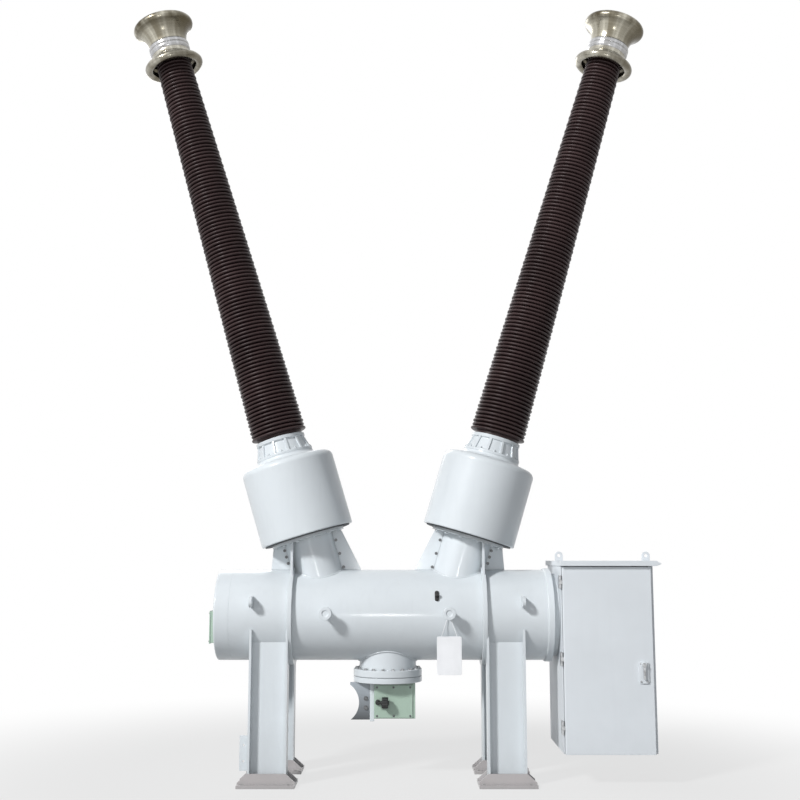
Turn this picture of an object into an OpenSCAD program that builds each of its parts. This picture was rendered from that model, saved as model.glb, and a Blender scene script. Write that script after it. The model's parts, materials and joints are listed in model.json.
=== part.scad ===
// One pole of a dead-tank gas circuit breaker: a horizontal gas tank on four columns,
// two splayed bushings with current-transformer housings, and a mechanism cabinet.
// Millimetres, +Z up, +X towards the cabinet, the origin on the ground below the tank's middle.

/* [Tank] */
// Outer radius of the gas tank
tank_r = 300; // [290:1:310]
// Thickness of the tank's wall
tank_wall = 12; // [8:1:20]
// Height of the tank's axis above the ground
tank_z = 1066; // [1040:1:1100]
// Left end of the tank, at the face of its cover
tank_x0 = -1138; // [-1160:1:-1120]
// Depth of the left end's bolted cover
cover_t = 100; // [60:1:110]
// Radius of the flanges at the right end
flange_r = 310; // [305:1:316]
// Thickness of each flange at the right end
flange_t = 38; // [30:1:45]

/* [Columns] */
// Distance from the middle to the inner face of a column, along X
col_x = 646; // [640:1:660]
// Width of a column, flange to flange
col_w = 250; // [240:1:260]
// Distance from the middle to a column's web, along Y
col_y = 245; // [235:1:250]
// Depth of a column's flanges
col_d = 116; // [100:1:116]
// Thickness of the flanges
col_flange_t = 14; // [10:1:18]
// Thickness of the web
col_web_t = 10; // [8:1:14]
// Height at which the flanges stop beside the tank
col_top = 985; // [960:1:1000]

/* [Feet] */
// Width of a base plate
base_w = 372; // [360:1:380]
// Depth of a base plate
base_d = 250; // [240:1:260]
// Thickness of a base plate
base_t = 20; // [16:1:30]
// Height of the sloping boot plates
boot_h = 62; // [50:1:80]
// Spacing of the anchor holes along X
anchor_x = 300; // [290:1:310]
// Spacing of the anchor holes along Y
anchor_y = 180; // [176:1:190]
// Radius of an anchor hole
anchor_r = 13; // [10:0.5:14]

/* [Bushings] */
// Distance from the middle to where a bushing's axis crosses the tank's axis
bush_x = 392; // [380:1:400]
// Outward lean of a bushing, in degrees
bush_lean = 16.6; // [16:0.1:17]
// Radius of the neck between tank and housing
neck_r = 165; // [155:1:170]
// Radius of the current-transformer housing
ct_r = 319; // [312:1:326]
// Start of the housing along the bushing's axis
ct_t0 = 555; // [545:1:565]
// Top of the housing's straight side
ct_t1 = 1039; // [1030:1:1044]
// Radius of the housing's round shoulder
ct_shoulder = 46; // [40:1:50]
// Start of the cast collar
collar_t0 = 1120; // [1115:1:1125]
// Start of the porcelain
porc_t0 = 1248; // [1240:1:1260]
// End of the porcelain
porc_t1 = 4135; // [4120:1:4140]
// Radius of the lowest long shed
shed_r0 = 192; // [185:1:198]
// Radius of the highest long shed
shed_r1 = 128; // [124:1:134]
// Overhang of a long shed from the core
shed_reach = 36; // [30:1:40]
// Overhang of the short sheds between the long ones
short_reach = 25; // [20:1:28]
// Number of long sheds
shed_count = 53; // [40:1:60]

/* [Shields] */
// Radius of the lower shield's rolled rim
low_rim = 36; // [32:1:40]
// Outer radius of the lower shield
low_r = 210; // [205:1:216]
// Middle of the lower shield's rim along the bushing's axis
low_t = 4080; // [4074:1:4086]
// Radius at which the shields meet the waist
waist_r = 138; // [132:1:142]
// Bottom of the waist's ring
waist_t0 = 4185; // [4180:1:4190]
// Top of the waist's ring
waist_t1 = 4258; // [4250:1:4266]
// Radius of the upper shield's rolled rim
up_rim = 30; // [26:1:34]
// Outer radius of the upper shield
up_r = 216; // [210:1:220]
// Middle of the upper shield's rim along the bushing's axis
up_t = 4400; // [4394:1:4406]
// Radius of the terminal stud
stud_r = 30; // [25:1:32]

/* [Cabinet] */
// Left face of the cabinet
cab_x0 = 1130; // [1126:1:1134]
// Right face of the cabinet
cab_x1 = 1732; // [1718:1:1748]
// Half the depth of the cabinet's body
cab_y = 320; // [315:1:325]
// Underside of the cabinet
cab_z0 = 206; // [196:1:216]
// Top of the cabinet's walls
cab_z1 = 1393; // [1385:1:1400]
// Thickness of the cabinet's walls
cab_wall = 6; // [4:1:8]
// Thickness of the door
door_t = 31; // [25:1:34]
// Gap between the door and what surrounds it
door_gap = 5; // [5:0.5:6]

/* [Hidden] */

$fn = 96;
eps = 1;
left = -1;
right = 1;
paint = [0.86, 0.89, 0.9];
grey_green = [0.56, 0.66, 0.6];
alloy = [0.72, 0.71, 0.68];
glaze = [0.16, 0.1, 0.11];
dark = [0.15, 0.17, 0.17];
white = [0.95, 0.96, 0.97];

// Tank
tank_x1 = cab_x0 - 2 * flange_t;
cover_rim = 60;
cover_dish = 10;
cover_chamfer = 8;
joint_groove = 5;
adapter_r = tank_r - 28;
adapter_bore_r = tank_r - cover_rim;
ring_t = 16;
ring_r = tank_r + 26;
ring_x = col_x - ring_t / 2;

// Box on the left end
end_box_t = 52;
end_box_w = 220;
end_box_z0 = 885;
end_box_z1 = 1090;
lid_t = 8;
lid_lip = 5;

// Columns and feet
col_mid = col_x + col_w / 2;
boot_t = 12;
boot_toe = 8;
earth_w = 57;
earth_t = 10;
earth_h = 220;
earth_z = 90;
earth_hole_r = 7;
earth_hole_x = 26;
earth_hole_zs = [60, 160];

// Bushings
neck_flange_r = 250;
neck_flange_t = 24;
gusset_t = 16;
gusset_in_x = 184;
gusset_in_top = [318, 1632];
gusset_out_x = 792;
gusset_out_top = [780, 1520];
gusset_foot_z = 1371;
gusset_high = 1600;
rib_half_w = 200;
shoulder_end = 83;
ct_bottom_chamfer = 12;
collar_r = 158;
collar_skirt = 22;
collar_foot = 38;
collar_foot_h = 18;
collar_lip = 12;
collar_lip_h = 24;
collar_ribs = 12;
collar_rib_w = 18;
collar_rib_set = 4;
fillet_r = 28;
shed_margin = 20;
shed_pitch = (porc_t1 - porc_t0 - 2 * shed_margin) / shed_count;
core_r0 = shed_r0 - shed_reach;
core_r1 = shed_r1 - shed_reach;

// Shields
cap_plate_r = 126;
cap_plate_t = 15;
cap_post_r = 90;
waist_bulge = 8;
waist_edge = 10;
low_wall = 6;
curl_end = -110;
up_wall = 8;
up_bore_r = stud_r + 20;
up_floor_t = 10;

// Bottom port and gas box
port_r = 190;
port_flange_r = 229;
port_top = 712;
port_joint_z = 668;
port_gap = 4;
port_bottom = 629;
box_x0 = -88;
box_x1 = 183;
box_y = 130;
box_z0 = 398;
box_edge = 18;
knob_x = -16;
knob_y = -172;
knob_z = 504;
knob_r = 37;
knob_w = 42;
knob_arm_r = 9;
knob_arm_x = -62;
knob_stem_x = -48;
bracket_x0 = -249;
bracket_x1 = -118;
bracket_y = -80;
bracket_t = 12;
bracket_z0 = 386;
bite_x = -330;
bite_z = 497;
bite_r = 140;
bar_w = box_x0 - bracket_x1;
bar_t = 24;
bar_z0 = 376;

// Fittings on the tank
trunnion_x = 400;
trunnion_z = 1090;
trunnion_r = 30;
trunnion_cap_r = 42;
trunnion_cap_t = 15;
trunnion_end = 400;
lug_x = 886;
lug_z = 1162;
lug_t = 20;
lug_r = 35;
lug_out = 345;
lug_bore_r = 15;
valve_x = 324;
valve_r = 20;
valve_out = 30;
valve_lift = 26;
tag_x = 321;
tag_w = 161;
tag_h = 244;
tag_z = 697;
tag_t = 6;
tag_y = -tank_r - 14;
strap_w = 8;
loop_r = trunnion_r + 5;

// Cabinet
roof_t = 34;
roof_side = 6;
roof_over = 14;
roof_tip = 48;
roof_edge = 14;
roof_front = 62;
roof_lug_xs = [cab_x0 - 6, cab_x1 - 38];
roof_lug_y = -300;
roof_lug_t = 12;
roof_lug_r = 26;
roof_lug_rise = 34;
roof_lug_bore_r = 11;
hinge_x = cab_x0 - 7;
hinge_y = -cab_y - 25;
hinge_r = 9;
pin_r = 5;
pin_play = 0.05;
hinge_zs = [370, 800, 1290];
hinge_half = 42;
knuckle_half = 14;
knuckle_gap = 1;
leaf_t = cab_x0 - hinge_x + 2;
leaf_len = 75;
leaf_back = 20;
door_x0 = cab_x0 + door_gap + 1;
door_y1 = -cab_y - door_gap;
door_y0 = door_y1 - door_t;
door_margin = 18;
frame_lip = 32;
door_fold = 6;
door_lip = 30;
door_recess = 8;
handle_x = 1647;
handle_z = 765;
stem_r = 8;
stem_gap = 1;
stem_l = 21;
lock_w = 64;
lock_up = 20;
lock_down = 117;
lock_t = 10;
hub_r = 14;
hub_from = 16;
hub_t = 16;
lever_w = 18;
lever_l = 100;
lever_from = 18;
lever_t = 12;

function arc(cx, cy, r, a0, a1, steps) =
    [for (i = [0:steps]) let (a = a0 + (a1 - a0) * i / steps) [cx + r * cos(a), cy + r * sin(a)]];

module tank_cylinder(r, x0, x1) {
    translate([x0, 0, tank_z]) rotate([0, 90, 0]) cylinder(r = r, h = x1 - x0);
}

module bushing_frame(side) {
    translate([side * bush_x, 0, tank_z]) rotate([0, side * bush_lean, 0]) children();
}

module tank_shell() {
    color(paint) difference() {
        tank_cylinder(tank_r, tank_x0 + cover_t, tank_x1);
        tank_cylinder(tank_r - tank_wall, tank_x0 + cover_t - eps, tank_x1 + eps);
        for (side = [left, right]) bushing_frame(side) cylinder(r = neck_r - tank_wall, h = 2 * tank_r);
        translate([0, 0, tank_z - 2 * tank_r]) cylinder(r = port_r - tank_wall, h = 2 * tank_r);
    }
}

module tank_left_cover() {
    rim_x = tank_r - cover_rim;
    color(paint) translate([tank_x0, 0, tank_z]) rotate([0, 90, 0])
        rotate_extrude() polygon([[0, cover_dish], [rim_x, cover_dish], [rim_x + cover_dish, 0],
            [tank_r - cover_chamfer, 0], [tank_r, cover_chamfer], [tank_r, cover_t - joint_groove],
            [tank_r - joint_groove, cover_t], [0, cover_t]]);
}

module end_junction_box() {
    height = end_box_z1 - end_box_z0;
    color(grey_green) translate([tank_x0 - end_box_t, -end_box_w / 2, end_box_z0]) {
        translate([lid_t, 0, 0]) cube([end_box_t + cover_dish - lid_t, end_box_w, height]);
        translate([0, -lid_lip, -lid_lip]) cube([lid_t, end_box_w + 2 * lid_lip, height + 2 * lid_lip]);
    }
}

module tank_right_flange() {
    color(paint) difference() {
        tank_cylinder(flange_r, tank_x1, tank_x1 + flange_t);
        tank_cylinder(tank_r - tank_wall, tank_x1 - eps, tank_x1 + flange_t + eps);
    }
}

module adapter_flange() {
    color(paint) difference() {
        tank_cylinder(adapter_r, tank_x1 + flange_t, cab_x0);
        tank_cylinder(adapter_bore_r, tank_x1 + flange_t - eps, cab_x0 + eps);
    }
}

module ring_slice(r, side) {
    tank_cylinder(r, side * ring_x - ring_t / 2, side * ring_x + ring_t / 2);
}

module stiffener_rings() {
    color(paint) for (side = [left, right]) difference() {
        ring_slice(ring_r, side);
        tank_cylinder(tank_r, -col_x - eps, col_x + eps);
        bushing_frame(side) cylinder(r = neck_r, h = ct_t0);
    }
}

module column() {
    height = col_top - base_t;
    translate([-col_w / 2, -col_d / 2, base_t]) cube([col_flange_t, col_d, height]);
    translate([col_w / 2 - col_flange_t, -col_d / 2, base_t]) cube([col_flange_t, col_d, height]);
    translate([-col_w / 2, -col_web_t / 2, base_t]) cube([col_w, col_web_t, height]);
}

module leg(side) {
    color(paint) difference() {
        for (face = [-1, 1]) translate([side * col_mid, face * col_y, 0]) column();
        tank_cylinder(tank_r, -2 * tank_r - lug_x, 2 * tank_r + lug_x);
    }
}

module leg_left() {
    leg(left);
}

module leg_right() {
    leg(right);
}

module boot_plate() {
    rotate([90, 0, 0]) linear_extrude(boot_t) polygon([[-base_w / 2, base_t], [base_w / 2, base_t],
        [base_w / 2, base_t + boot_toe], [col_w / 2, base_t + boot_h], [-col_w / 2, base_t + boot_h],
        [-base_w / 2, base_t + boot_toe]]);
}

module foot() {
    difference() {
        union() {
            translate([-base_w / 2, -base_d / 2, 0]) cube([base_w, base_d, base_t]);
            translate([0, -col_d / 2, 0]) boot_plate();
            translate([0, col_d / 2 + boot_t, 0]) boot_plate();
        }
        for (x = [-1, 1], y = [-1, 1])
            translate([x * anchor_x / 2, y * anchor_y / 2, -eps])
                cylinder(r = anchor_r, h = base_t + 2 * eps);
    }
}

module feet(side) {
    color(paint) for (face = [-1, 1]) translate([side * col_mid, face * col_y, 0]) foot();
}

module feet_left() {
    feet(left);
}

module feet_right() {
    feet(right);
}

module earthing_plate() {
    color(paint) translate([-col_x - col_w - earth_w, -col_y - earth_t / 2, earth_z]) difference() {
        cube([earth_w, earth_t, earth_h]);
        for (z = earth_hole_zs) translate([earth_hole_x, -eps, z]) rotate([-90, 0, 0])
            cylinder(r = earth_hole_r, h = earth_t + 2 * eps);
    }
}

module turret(side) {
    color(paint) difference() {
        bushing_frame(side) union() {
            cylinder(r = neck_r, h = ct_t0);
            translate([0, 0, ct_t0 - neck_flange_t]) cylinder(r = neck_flange_r, h = neck_flange_t);
        }
        bushing_frame(side) translate([0, 0, -eps]) cylinder(r = neck_r - tank_wall, h = ct_t0 + 2 * eps);
        tank_cylinder(tank_r, -bush_x * 3, bush_x * 3);
    }
}

module turret_left() {
    turret(left);
}

module turret_right() {
    turret(right);
}

module gusset_sheet(points) {
    rotate([90, 0, 0]) translate([0, 0, -gusset_t / 2]) linear_extrude(gusset_t) polygon(points);
}

module gusset_plates(side) {
    difference() {
        union() {
            mirror([side < 0 ? 1 : 0, 0, 0]) {
                gusset_sheet([[gusset_in_x, tank_z], [gusset_in_x, gusset_foot_z], gusset_in_top,
                    [ring_x, gusset_high], [ring_x, tank_z]]);
                gusset_sheet([[ring_x, tank_z], [ring_x, gusset_high], gusset_out_top,
                    [gusset_out_x, gusset_foot_z], [gusset_out_x, tank_z]]);
            }
            translate([side * ring_x - ring_t / 2, -rib_half_w, tank_z])
                cube([ring_t, 2 * rib_half_w, gusset_high - tank_z]);
        }
        bushing_frame(side) cylinder(r = neck_r, h = 2 * ct_t0);
        bushing_frame(side) translate([0, 0, ct_t0 - neck_flange_t]) cylinder(r = 2 * ct_r, h = ct_t0);
        tank_cylinder(tank_r, -col_x * 2, col_x * 2);
        ring_slice(ring_r, side);
    }
}

module gussets_left() {
    color(paint) gusset_plates(left);
}

module gussets_right() {
    color(paint) gusset_plates(right);
}

module ct_housing(side) {
    shoulder = arc(ct_r - ct_shoulder, ct_t1, ct_shoulder, 0, shoulder_end, 8);
    fillet = arc(collar_r + collar_foot + fillet_r, collar_t0, fillet_r, 180 + shoulder_end, 180, 6);
    bottom = [[0, ct_t0], [ct_r - ct_bottom_chamfer, ct_t0], [ct_r, ct_t0 + ct_bottom_chamfer]];
    color(paint) bushing_frame(side) rotate_extrude()
        polygon(concat(bottom, shoulder, fillet, [[0, collar_t0]]));
}

module ct_housing_left() {
    ct_housing(left);
}

module ct_housing_right() {
    ct_housing(right);
}

module collar(side) {
    lip_t = porc_t0 - collar_t0 - collar_lip_h;
    lip_r = collar_r + collar_lip;
    foot_r = collar_r + collar_foot;
    rib_t = lip_t + collar_rib_set;
    color(paint) bushing_frame(side) translate([0, 0, collar_t0]) {
        rotate_extrude() polygon([
            [0, 0], [foot_r, 0], [foot_r, collar_foot_h], [collar_r + collar_skirt, collar_foot_h],
            [collar_r, lip_t], [lip_r, lip_t], [lip_r, lip_t + collar_lip_h], [0, lip_t + collar_lip_h]
        ]);
        for (i = [0:collar_ribs - 1]) rotate([90, 0, (i + 0.5) * 360 / collar_ribs])
            linear_extrude(collar_rib_w, center = true) polygon([
                [collar_r / 2, collar_foot_h / 2], [foot_r - collar_rib_set, collar_foot_h / 2],
                [lip_r - collar_rib_set, rib_t], [collar_r / 2, rib_t]
            ]);
    }
}

module collar_left() {
    collar(left);
}

module collar_right() {
    collar(right);
}

function shed_radius(i) = shed_r0 + (shed_r1 - shed_r0) * i / (shed_count - 1);

function shed_profile(i) =
    let (t = porc_t0 + shed_margin + i * shed_pitch, r = shed_radius(i), core = r - shed_reach,
        short = core + short_reach)
    [[core, t], [r, t + shed_pitch * 0.1], [r - 2, t + shed_pitch * 0.19],
     [core + 4, t + shed_pitch * 0.44], [core, t + shed_pitch * 0.5], [short, t + shed_pitch * 0.59],
     [short - 2, t + shed_pitch * 0.67], [core + 4, t + shed_pitch * 0.9]];

module porcelain(side) {
    sheds = [for (i = [0:shed_count - 1]) each shed_profile(i)];
    color(glaze) bushing_frame(side) rotate_extrude()
        polygon(concat([[0, porc_t0], [core_r0, porc_t0]], sheds, [[core_r1, porc_t1], [0, porc_t1]]));
}

module porcelain_left() {
    porcelain(left);
}

module porcelain_right() {
    porcelain(right);
}

module top_cap(side) {
    plate_top = porc_t1 + cap_plate_t;
    edge_r = waist_r + waist_bulge - waist_edge;
    bead = concat(arc(edge_r, waist_t0 + waist_edge, waist_edge, -90, 0, 6),
        arc(edge_r, waist_t1 - waist_edge, waist_edge, 0, 90, 6));
    color(alloy) bushing_frame(side) union() {
        rotate_extrude() polygon(concat([[0, porc_t1], [cap_plate_r, porc_t1], [cap_plate_r, plate_top],
            [cap_post_r, plate_top], [cap_post_r, waist_t0]], bead, [[0, waist_t1]]));
        translate([0, 0, waist_t1]) cylinder(r = stud_r, h = up_t - waist_t1);
    }
}

module top_cap_left() {
    top_cap(left);
}

module top_cap_right() {
    top_cap(right);
}

// Radius of the hollow flare that runs from the waist into a rolled rim
function flare_radius(rim_mid, rim, rise) =
    (rise * rise + (rim_mid - waist_r) * (rim_mid - waist_r) - rim * rim) / (2 * (rim + rim_mid - waist_r));

// All points of a curve but the first, where it runs on from another
function tail(points) = [for (i = [1:len(points) - 1]) points[i]];

module shield_lower(side) {
    rim_mid = low_r - low_rim;
    flare = flare_radius(rim_mid, low_rim, waist_t0 - low_t);
    flare_x = waist_r + flare;
    meet = atan2(waist_t0 - low_t, flare_x - rim_mid);
    outer = concat(arc(flare_x, waist_t0, flare, 180, 180 + meet, 8),
        tail(arc(rim_mid, low_t, low_rim, meet, curl_end, 14)));
    inner = concat(arc(rim_mid, low_t, low_rim - low_wall, curl_end, meet, 14),
        tail(arc(flare_x, waist_t0, flare + low_wall, 180 + meet, 180, 8)));
    color(alloy) bushing_frame(side) rotate_extrude() polygon(concat(outer, inner));
}

module shield_lower_left() {
    shield_lower(left);
}

module shield_lower_right() {
    shield_lower(right);
}

module shield_upper(side) {
    rim_mid = up_r - up_rim;
    flare = flare_radius(rim_mid, up_rim, up_t - waist_t1);
    flare_x = waist_r + flare;
    meet = atan2(up_t - waist_t1, flare_x - rim_mid);
    outer = arc(flare_x, waist_t1, flare, 180, 180 - meet, 10);
    inner = arc(flare_x, waist_t1, flare + up_wall, 180 - meet, 175, 10);
    color(alloy) bushing_frame(side) union() {
        rotate_extrude() polygon(concat([[up_bore_r, waist_t1]], outer, inner,
            [[up_bore_r, waist_t1 + up_floor_t]]));
        translate([0, 0, up_t]) rotate_extrude() translate([rim_mid, 0]) circle(r = up_rim);
    }
}

module shield_upper_left() {
    shield_upper(left);
}

module shield_upper_right() {
    shield_upper(right);
}

module port_neck() {
    color(paint) difference() {
        translate([0, 0, port_top]) cylinder(r = port_r, h = tank_z - port_top);
        translate([0, 0, port_top - eps]) cylinder(r = port_r - tank_wall, h = tank_z);
        tank_cylinder(tank_r, -tank_r, tank_r);
    }
}

module port_flanges() {
    groove_r = port_flange_r - 2 * port_gap;
    color(paint) rotate_extrude() polygon([[0, port_bottom], [port_flange_r, port_bottom],
        [port_flange_r, port_joint_z - port_gap], [groove_r, port_joint_z - port_gap],
        [groove_r, port_joint_z], [port_flange_r, port_joint_z], [port_flange_r, port_top], [0, port_top]]);
}

module gas_box() {
    width = box_x1 - box_x0;
    color(grey_green) translate([box_x0, -box_y, box_z0]) {
        translate([0, lid_t, 0]) cube([width, 2 * box_y - lid_t, port_bottom - box_z0]);
        translate([lid_lip, 0, lid_lip])
            cube([width - lid_lip - box_edge, lid_t, port_bottom - box_z0 - 4 * lid_lip]);
    }
}

module gas_knob() {
    color(dark) translate([knob_x, knob_y, knob_z]) {
        translate([-knob_w / 2, 0, 0]) rotate([0, 90, 0]) cylinder(r = knob_r, h = knob_w);
        translate([knob_arm_x, 0, 0]) rotate([0, 90, 0]) cylinder(r = knob_arm_r, h = -knob_arm_x);
        translate([knob_stem_x, 0, 0]) rotate([-90, 0, 0]) cylinder(r = knob_arm_r, h = -box_y - knob_y);
    }
}

module port_bracket() {
    color(paint) {
        difference() {
            translate([bracket_x0, bracket_y, bracket_z0])
                cube([bracket_x1 - bracket_x0, bracket_t, port_bottom - bracket_z0]);
            translate([bite_x, bracket_y - eps, bite_z]) rotate([-90, 0, 0])
                cylinder(r = bite_r, h = bracket_t + 2 * eps);
        }
        translate([bracket_x1, bracket_y + bracket_t - bar_t, bar_z0])
            cube([bar_w, bar_t, port_bottom - bar_z0]);
    }
}

module trunnions() {
    color(paint) difference() {
        for (x = [-1, 1], face = [0, 180]) rotate([0, 0, face]) translate([x * trunnion_x, 0, trunnion_z])
            rotate([90, 0, 0]) {
                cylinder(r = trunnion_r, h = trunnion_end);
                translate([0, 0, trunnion_end - trunnion_cap_t])
                    cylinder(r = trunnion_cap_r, h = trunnion_cap_t);
            }
        tank_cylinder(tank_r, -2 * trunnion_x, 2 * trunnion_x);
    }
}

module lug_plate() {
    difference() {
        union() {
            translate([-lug_r, -lug_out, 0]) cube([2 * lug_r, lug_out, lug_t]);
            translate([0, -lug_out, 0]) cylinder(r = lug_r, h = lug_t);
        }
        translate([0, -lug_out, -eps]) cylinder(r = lug_bore_r, h = lug_t + 2 * eps);
    }
}

module lifting_lugs() {
    color(paint) difference() {
        for (x = [-1, 1], face = [0, 180]) rotate([0, 0, face])
            translate([x * lug_x - lug_t / 2, 0, lug_z]) rotate([0, 90, 0]) lug_plate();
        tank_cylinder(tank_r, -2 * lug_x, 2 * lug_x);
    }
}

module filling_valve() {
    color(dark) difference() {
        translate([valve_x, 0, tank_z]) rotate([90 - valve_lift, 0, 0])
            cylinder(r = valve_r, h = tank_r + valve_out);
        tank_cylinder(tank_r, 0, 2 * trunnion_x);
    }
}

module hanging_tag() {
    tag_top = tag_z + tag_h;
    color(white) difference() {
        union() {
            translate([tag_x, tag_y, tag_z]) cube([tag_w, tag_t, tag_h]);
            translate([trunnion_x - strap_w / 2, tag_y, tag_top - strap_w])
                cube([strap_w, tag_t, trunnion_z - tag_top + strap_w]);
            translate([trunnion_x, tag_y, trunnion_z]) rotate([-90, 0, 0]) cylinder(r = loop_r, h = tag_t);
        }
        translate([trunnion_x, tag_y - eps, trunnion_z]) rotate([-90, 0, 0])
            cylinder(r = trunnion_r, h = tag_t + 2 * eps);
    }
}

module cabinet_left_wall() {
    color(paint) translate([cab_x0, -cab_y, cab_z0]) cube([cab_wall, 2 * cab_y, cab_z1 - cab_z0]);
}

module cabinet_right_wall() {
    color(paint) {
        translate([cab_x1 - cab_wall, -cab_y, cab_z0]) cube([cab_wall, 2 * cab_y, cab_z1 - cab_z0]);
        translate([cab_x1 - frame_lip, -cab_y, cab_z0 + cab_wall])
            cube([frame_lip, cab_wall, cab_z1 - cab_z0 - cab_wall]);
    }
}

module cabinet_back_wall() {
    color(paint) translate([cab_x0 + cab_wall, cab_y - cab_wall, cab_z0])
        cube([cab_x1 - cab_x0 - 2 * cab_wall, cab_wall, cab_z1 - cab_z0]);
}

module cabinet_floor() {
    color(paint) translate([cab_x0 + cab_wall, -cab_y, cab_z0])
        cube([cab_x1 - cab_x0 - 2 * cab_wall, 2 * cab_y - cab_wall, cab_wall]);
}

module roof_lug(x) {
    translate([x, roof_lug_y, cab_z1 + roof_t]) difference() {
        union() {
            translate([-roof_lug_r, 0, 0]) cube([2 * roof_lug_r, roof_lug_t, roof_lug_rise]);
            translate([0, 0, roof_lug_rise]) rotate([-90, 0, 0]) cylinder(r = roof_lug_r, h = roof_lug_t);
        }
        translate([0, -eps, roof_lug_rise]) rotate([-90, 0, 0])
            cylinder(r = roof_lug_bore_r, h = roof_lug_t + 2 * eps);
    }
}

module cabinet_roof() {
    roof_x0 = cab_x0 - roof_side;
    roof_x1 = cab_x1 + roof_over;
    depth = 2 * (cab_y + roof_front);
    color(paint) {
        translate([0, depth / 2, cab_z1]) rotate([90, 0, 0]) linear_extrude(depth)
            polygon([[roof_x0, 0], [roof_x1, 0], [cab_x1 + roof_tip, roof_edge], [roof_x1, roof_t],
                [roof_x0, roof_t]]);
        for (x = roof_lug_xs) roof_lug(x);
    }
}

module hinge_leaves() {
    barrel = hinge_half - knuckle_half - knuckle_gap;
    color(alloy) for (z = hinge_zs) translate([hinge_x, hinge_y, z]) {
        translate([0, 0, -hinge_half]) cylinder(r = pin_r, h = 2 * hinge_half);
        for (end = [0, 1]) mirror([0, 0, end]) translate([0, 0, knuckle_half + knuckle_gap]) {
            cylinder(r = hinge_r, h = barrel);
            translate([cab_x0 - hinge_x - leaf_t, 0, 0]) cube([leaf_t, leaf_len, barrel]);
        }
        translate([cab_x0 - hinge_x - leaf_t, leaf_back, -hinge_half])
            cube([leaf_t, leaf_len - leaf_back, 2 * hinge_half]);
    }
}

module cabinet_door() {
    width = cab_x1 - door_margin - door_x0;
    height = cab_z1 - door_gap - cab_z0;
    left_fold = arc(door_fold, door_fold, door_fold, 180, 270, 4);
    right_fold = arc(width - door_fold, door_fold, door_fold, 270, 360, 4);
    color(paint) translate([door_x0, door_y0, cab_z0]) difference() {
        linear_extrude(height) polygon(concat([[0, door_t]], left_fold, right_fold, [[width, door_t]]));
        translate([door_lip, door_t - door_recess, door_lip])
            cube([width - 2 * door_lip, door_recess + eps, height - 2 * door_lip]);
    }
}

module door_knuckles() {
    color(alloy) for (z = hinge_zs) translate([hinge_x, hinge_y, z]) difference() {
        union() {
            translate([0, 0, -knuckle_half]) cylinder(r = hinge_r, h = 2 * knuckle_half);
            translate([0, -hinge_r, -knuckle_half])
                cube([door_x0 - hinge_x, hinge_r, 2 * knuckle_half]);
        }
        translate([0, 0, -hinge_half]) cylinder(r = pin_r + pin_play, h = 2 * hinge_half);
    }
}

module lock_plate() {
    color(paint) translate([handle_x, door_y0, handle_z]) rotate([90, 0, 0]) difference() {
        translate([-lock_w / 2, -lock_down, 0]) cube([lock_w, lock_down + lock_up, lock_t]);
        translate([0, 0, -eps]) cylinder(r = stem_r + pin_play, h = lock_t + 2 * eps);
    }
}

module door_handle() {
    color(alloy) translate([handle_x, door_y0, handle_z]) rotate([90, 0, 0]) {
        translate([0, 0, stem_gap]) cylinder(r = stem_r, h = stem_l);
        translate([0, 0, hub_from]) cylinder(r = hub_r, h = hub_t);
        translate([-lever_w / 2, -lever_l, lever_from]) cube([lever_w, lever_l, lever_t]);
    }
}

tank_shell();
tank_left_cover();
end_junction_box();
tank_right_flange();
adapter_flange();
stiffener_rings();
leg_left();
leg_right();
feet_left();
feet_right();
earthing_plate();
turret_left();
turret_right();
gussets_left();
gussets_right();
ct_housing_left();
ct_housing_right();
collar_left();
collar_right();
porcelain_left();
porcelain_right();
top_cap_left();
top_cap_right();
shield_lower_left();
shield_lower_right();
shield_upper_left();
shield_upper_right();
port_neck();
port_flanges();
gas_box();
gas_knob();
port_bracket();
trunnions();
lifting_lugs();
filling_valve();
hanging_tag();
cabinet_left_wall();
cabinet_right_wall();
cabinet_back_wall();
cabinet_floor();
cabinet_roof();
hinge_leaves();
cabinet_door();
door_knuckles();
lock_plate();
door_handle();
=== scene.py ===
"""Finish of one pole of a dead-tank gas circuit breaker: paint, porcelain, spun shields, bolts and welds.

Metres, +Z up, +X towards the cabinet, the ground at Z 0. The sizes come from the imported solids,
and the sizes and colours that a user would change are properties in the sidebar.
"""
import json
import math

import bmesh
import bpy
from mathutils import Euler, Matrix, Vector


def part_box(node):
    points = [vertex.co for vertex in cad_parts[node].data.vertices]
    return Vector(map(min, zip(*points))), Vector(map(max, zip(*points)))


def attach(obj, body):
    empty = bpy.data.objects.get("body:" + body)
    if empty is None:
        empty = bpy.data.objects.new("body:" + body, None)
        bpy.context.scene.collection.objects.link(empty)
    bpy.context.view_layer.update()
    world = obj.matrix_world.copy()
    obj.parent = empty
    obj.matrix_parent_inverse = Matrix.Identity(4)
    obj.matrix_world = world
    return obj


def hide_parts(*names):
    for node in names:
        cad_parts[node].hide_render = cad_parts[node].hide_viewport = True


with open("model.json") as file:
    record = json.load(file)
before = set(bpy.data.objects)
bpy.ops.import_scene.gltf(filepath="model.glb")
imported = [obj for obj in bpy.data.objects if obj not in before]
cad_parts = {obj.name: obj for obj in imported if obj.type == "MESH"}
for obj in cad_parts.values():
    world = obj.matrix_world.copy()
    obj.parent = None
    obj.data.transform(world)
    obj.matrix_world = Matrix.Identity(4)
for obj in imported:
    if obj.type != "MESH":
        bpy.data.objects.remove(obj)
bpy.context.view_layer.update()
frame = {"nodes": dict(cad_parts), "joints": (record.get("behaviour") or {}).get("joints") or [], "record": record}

bl_info = {
    "name": "Gas Breaker Finish",
    "version": (1, 0, 0),
    "blender": (4, 5, 0),
    "location": "View3D > Sidebar > Breaker",
    "description": "Dresses the solids of a dead-tank gas circuit breaker pole",
    "category": "Object",
}

MM = 0.001

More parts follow.
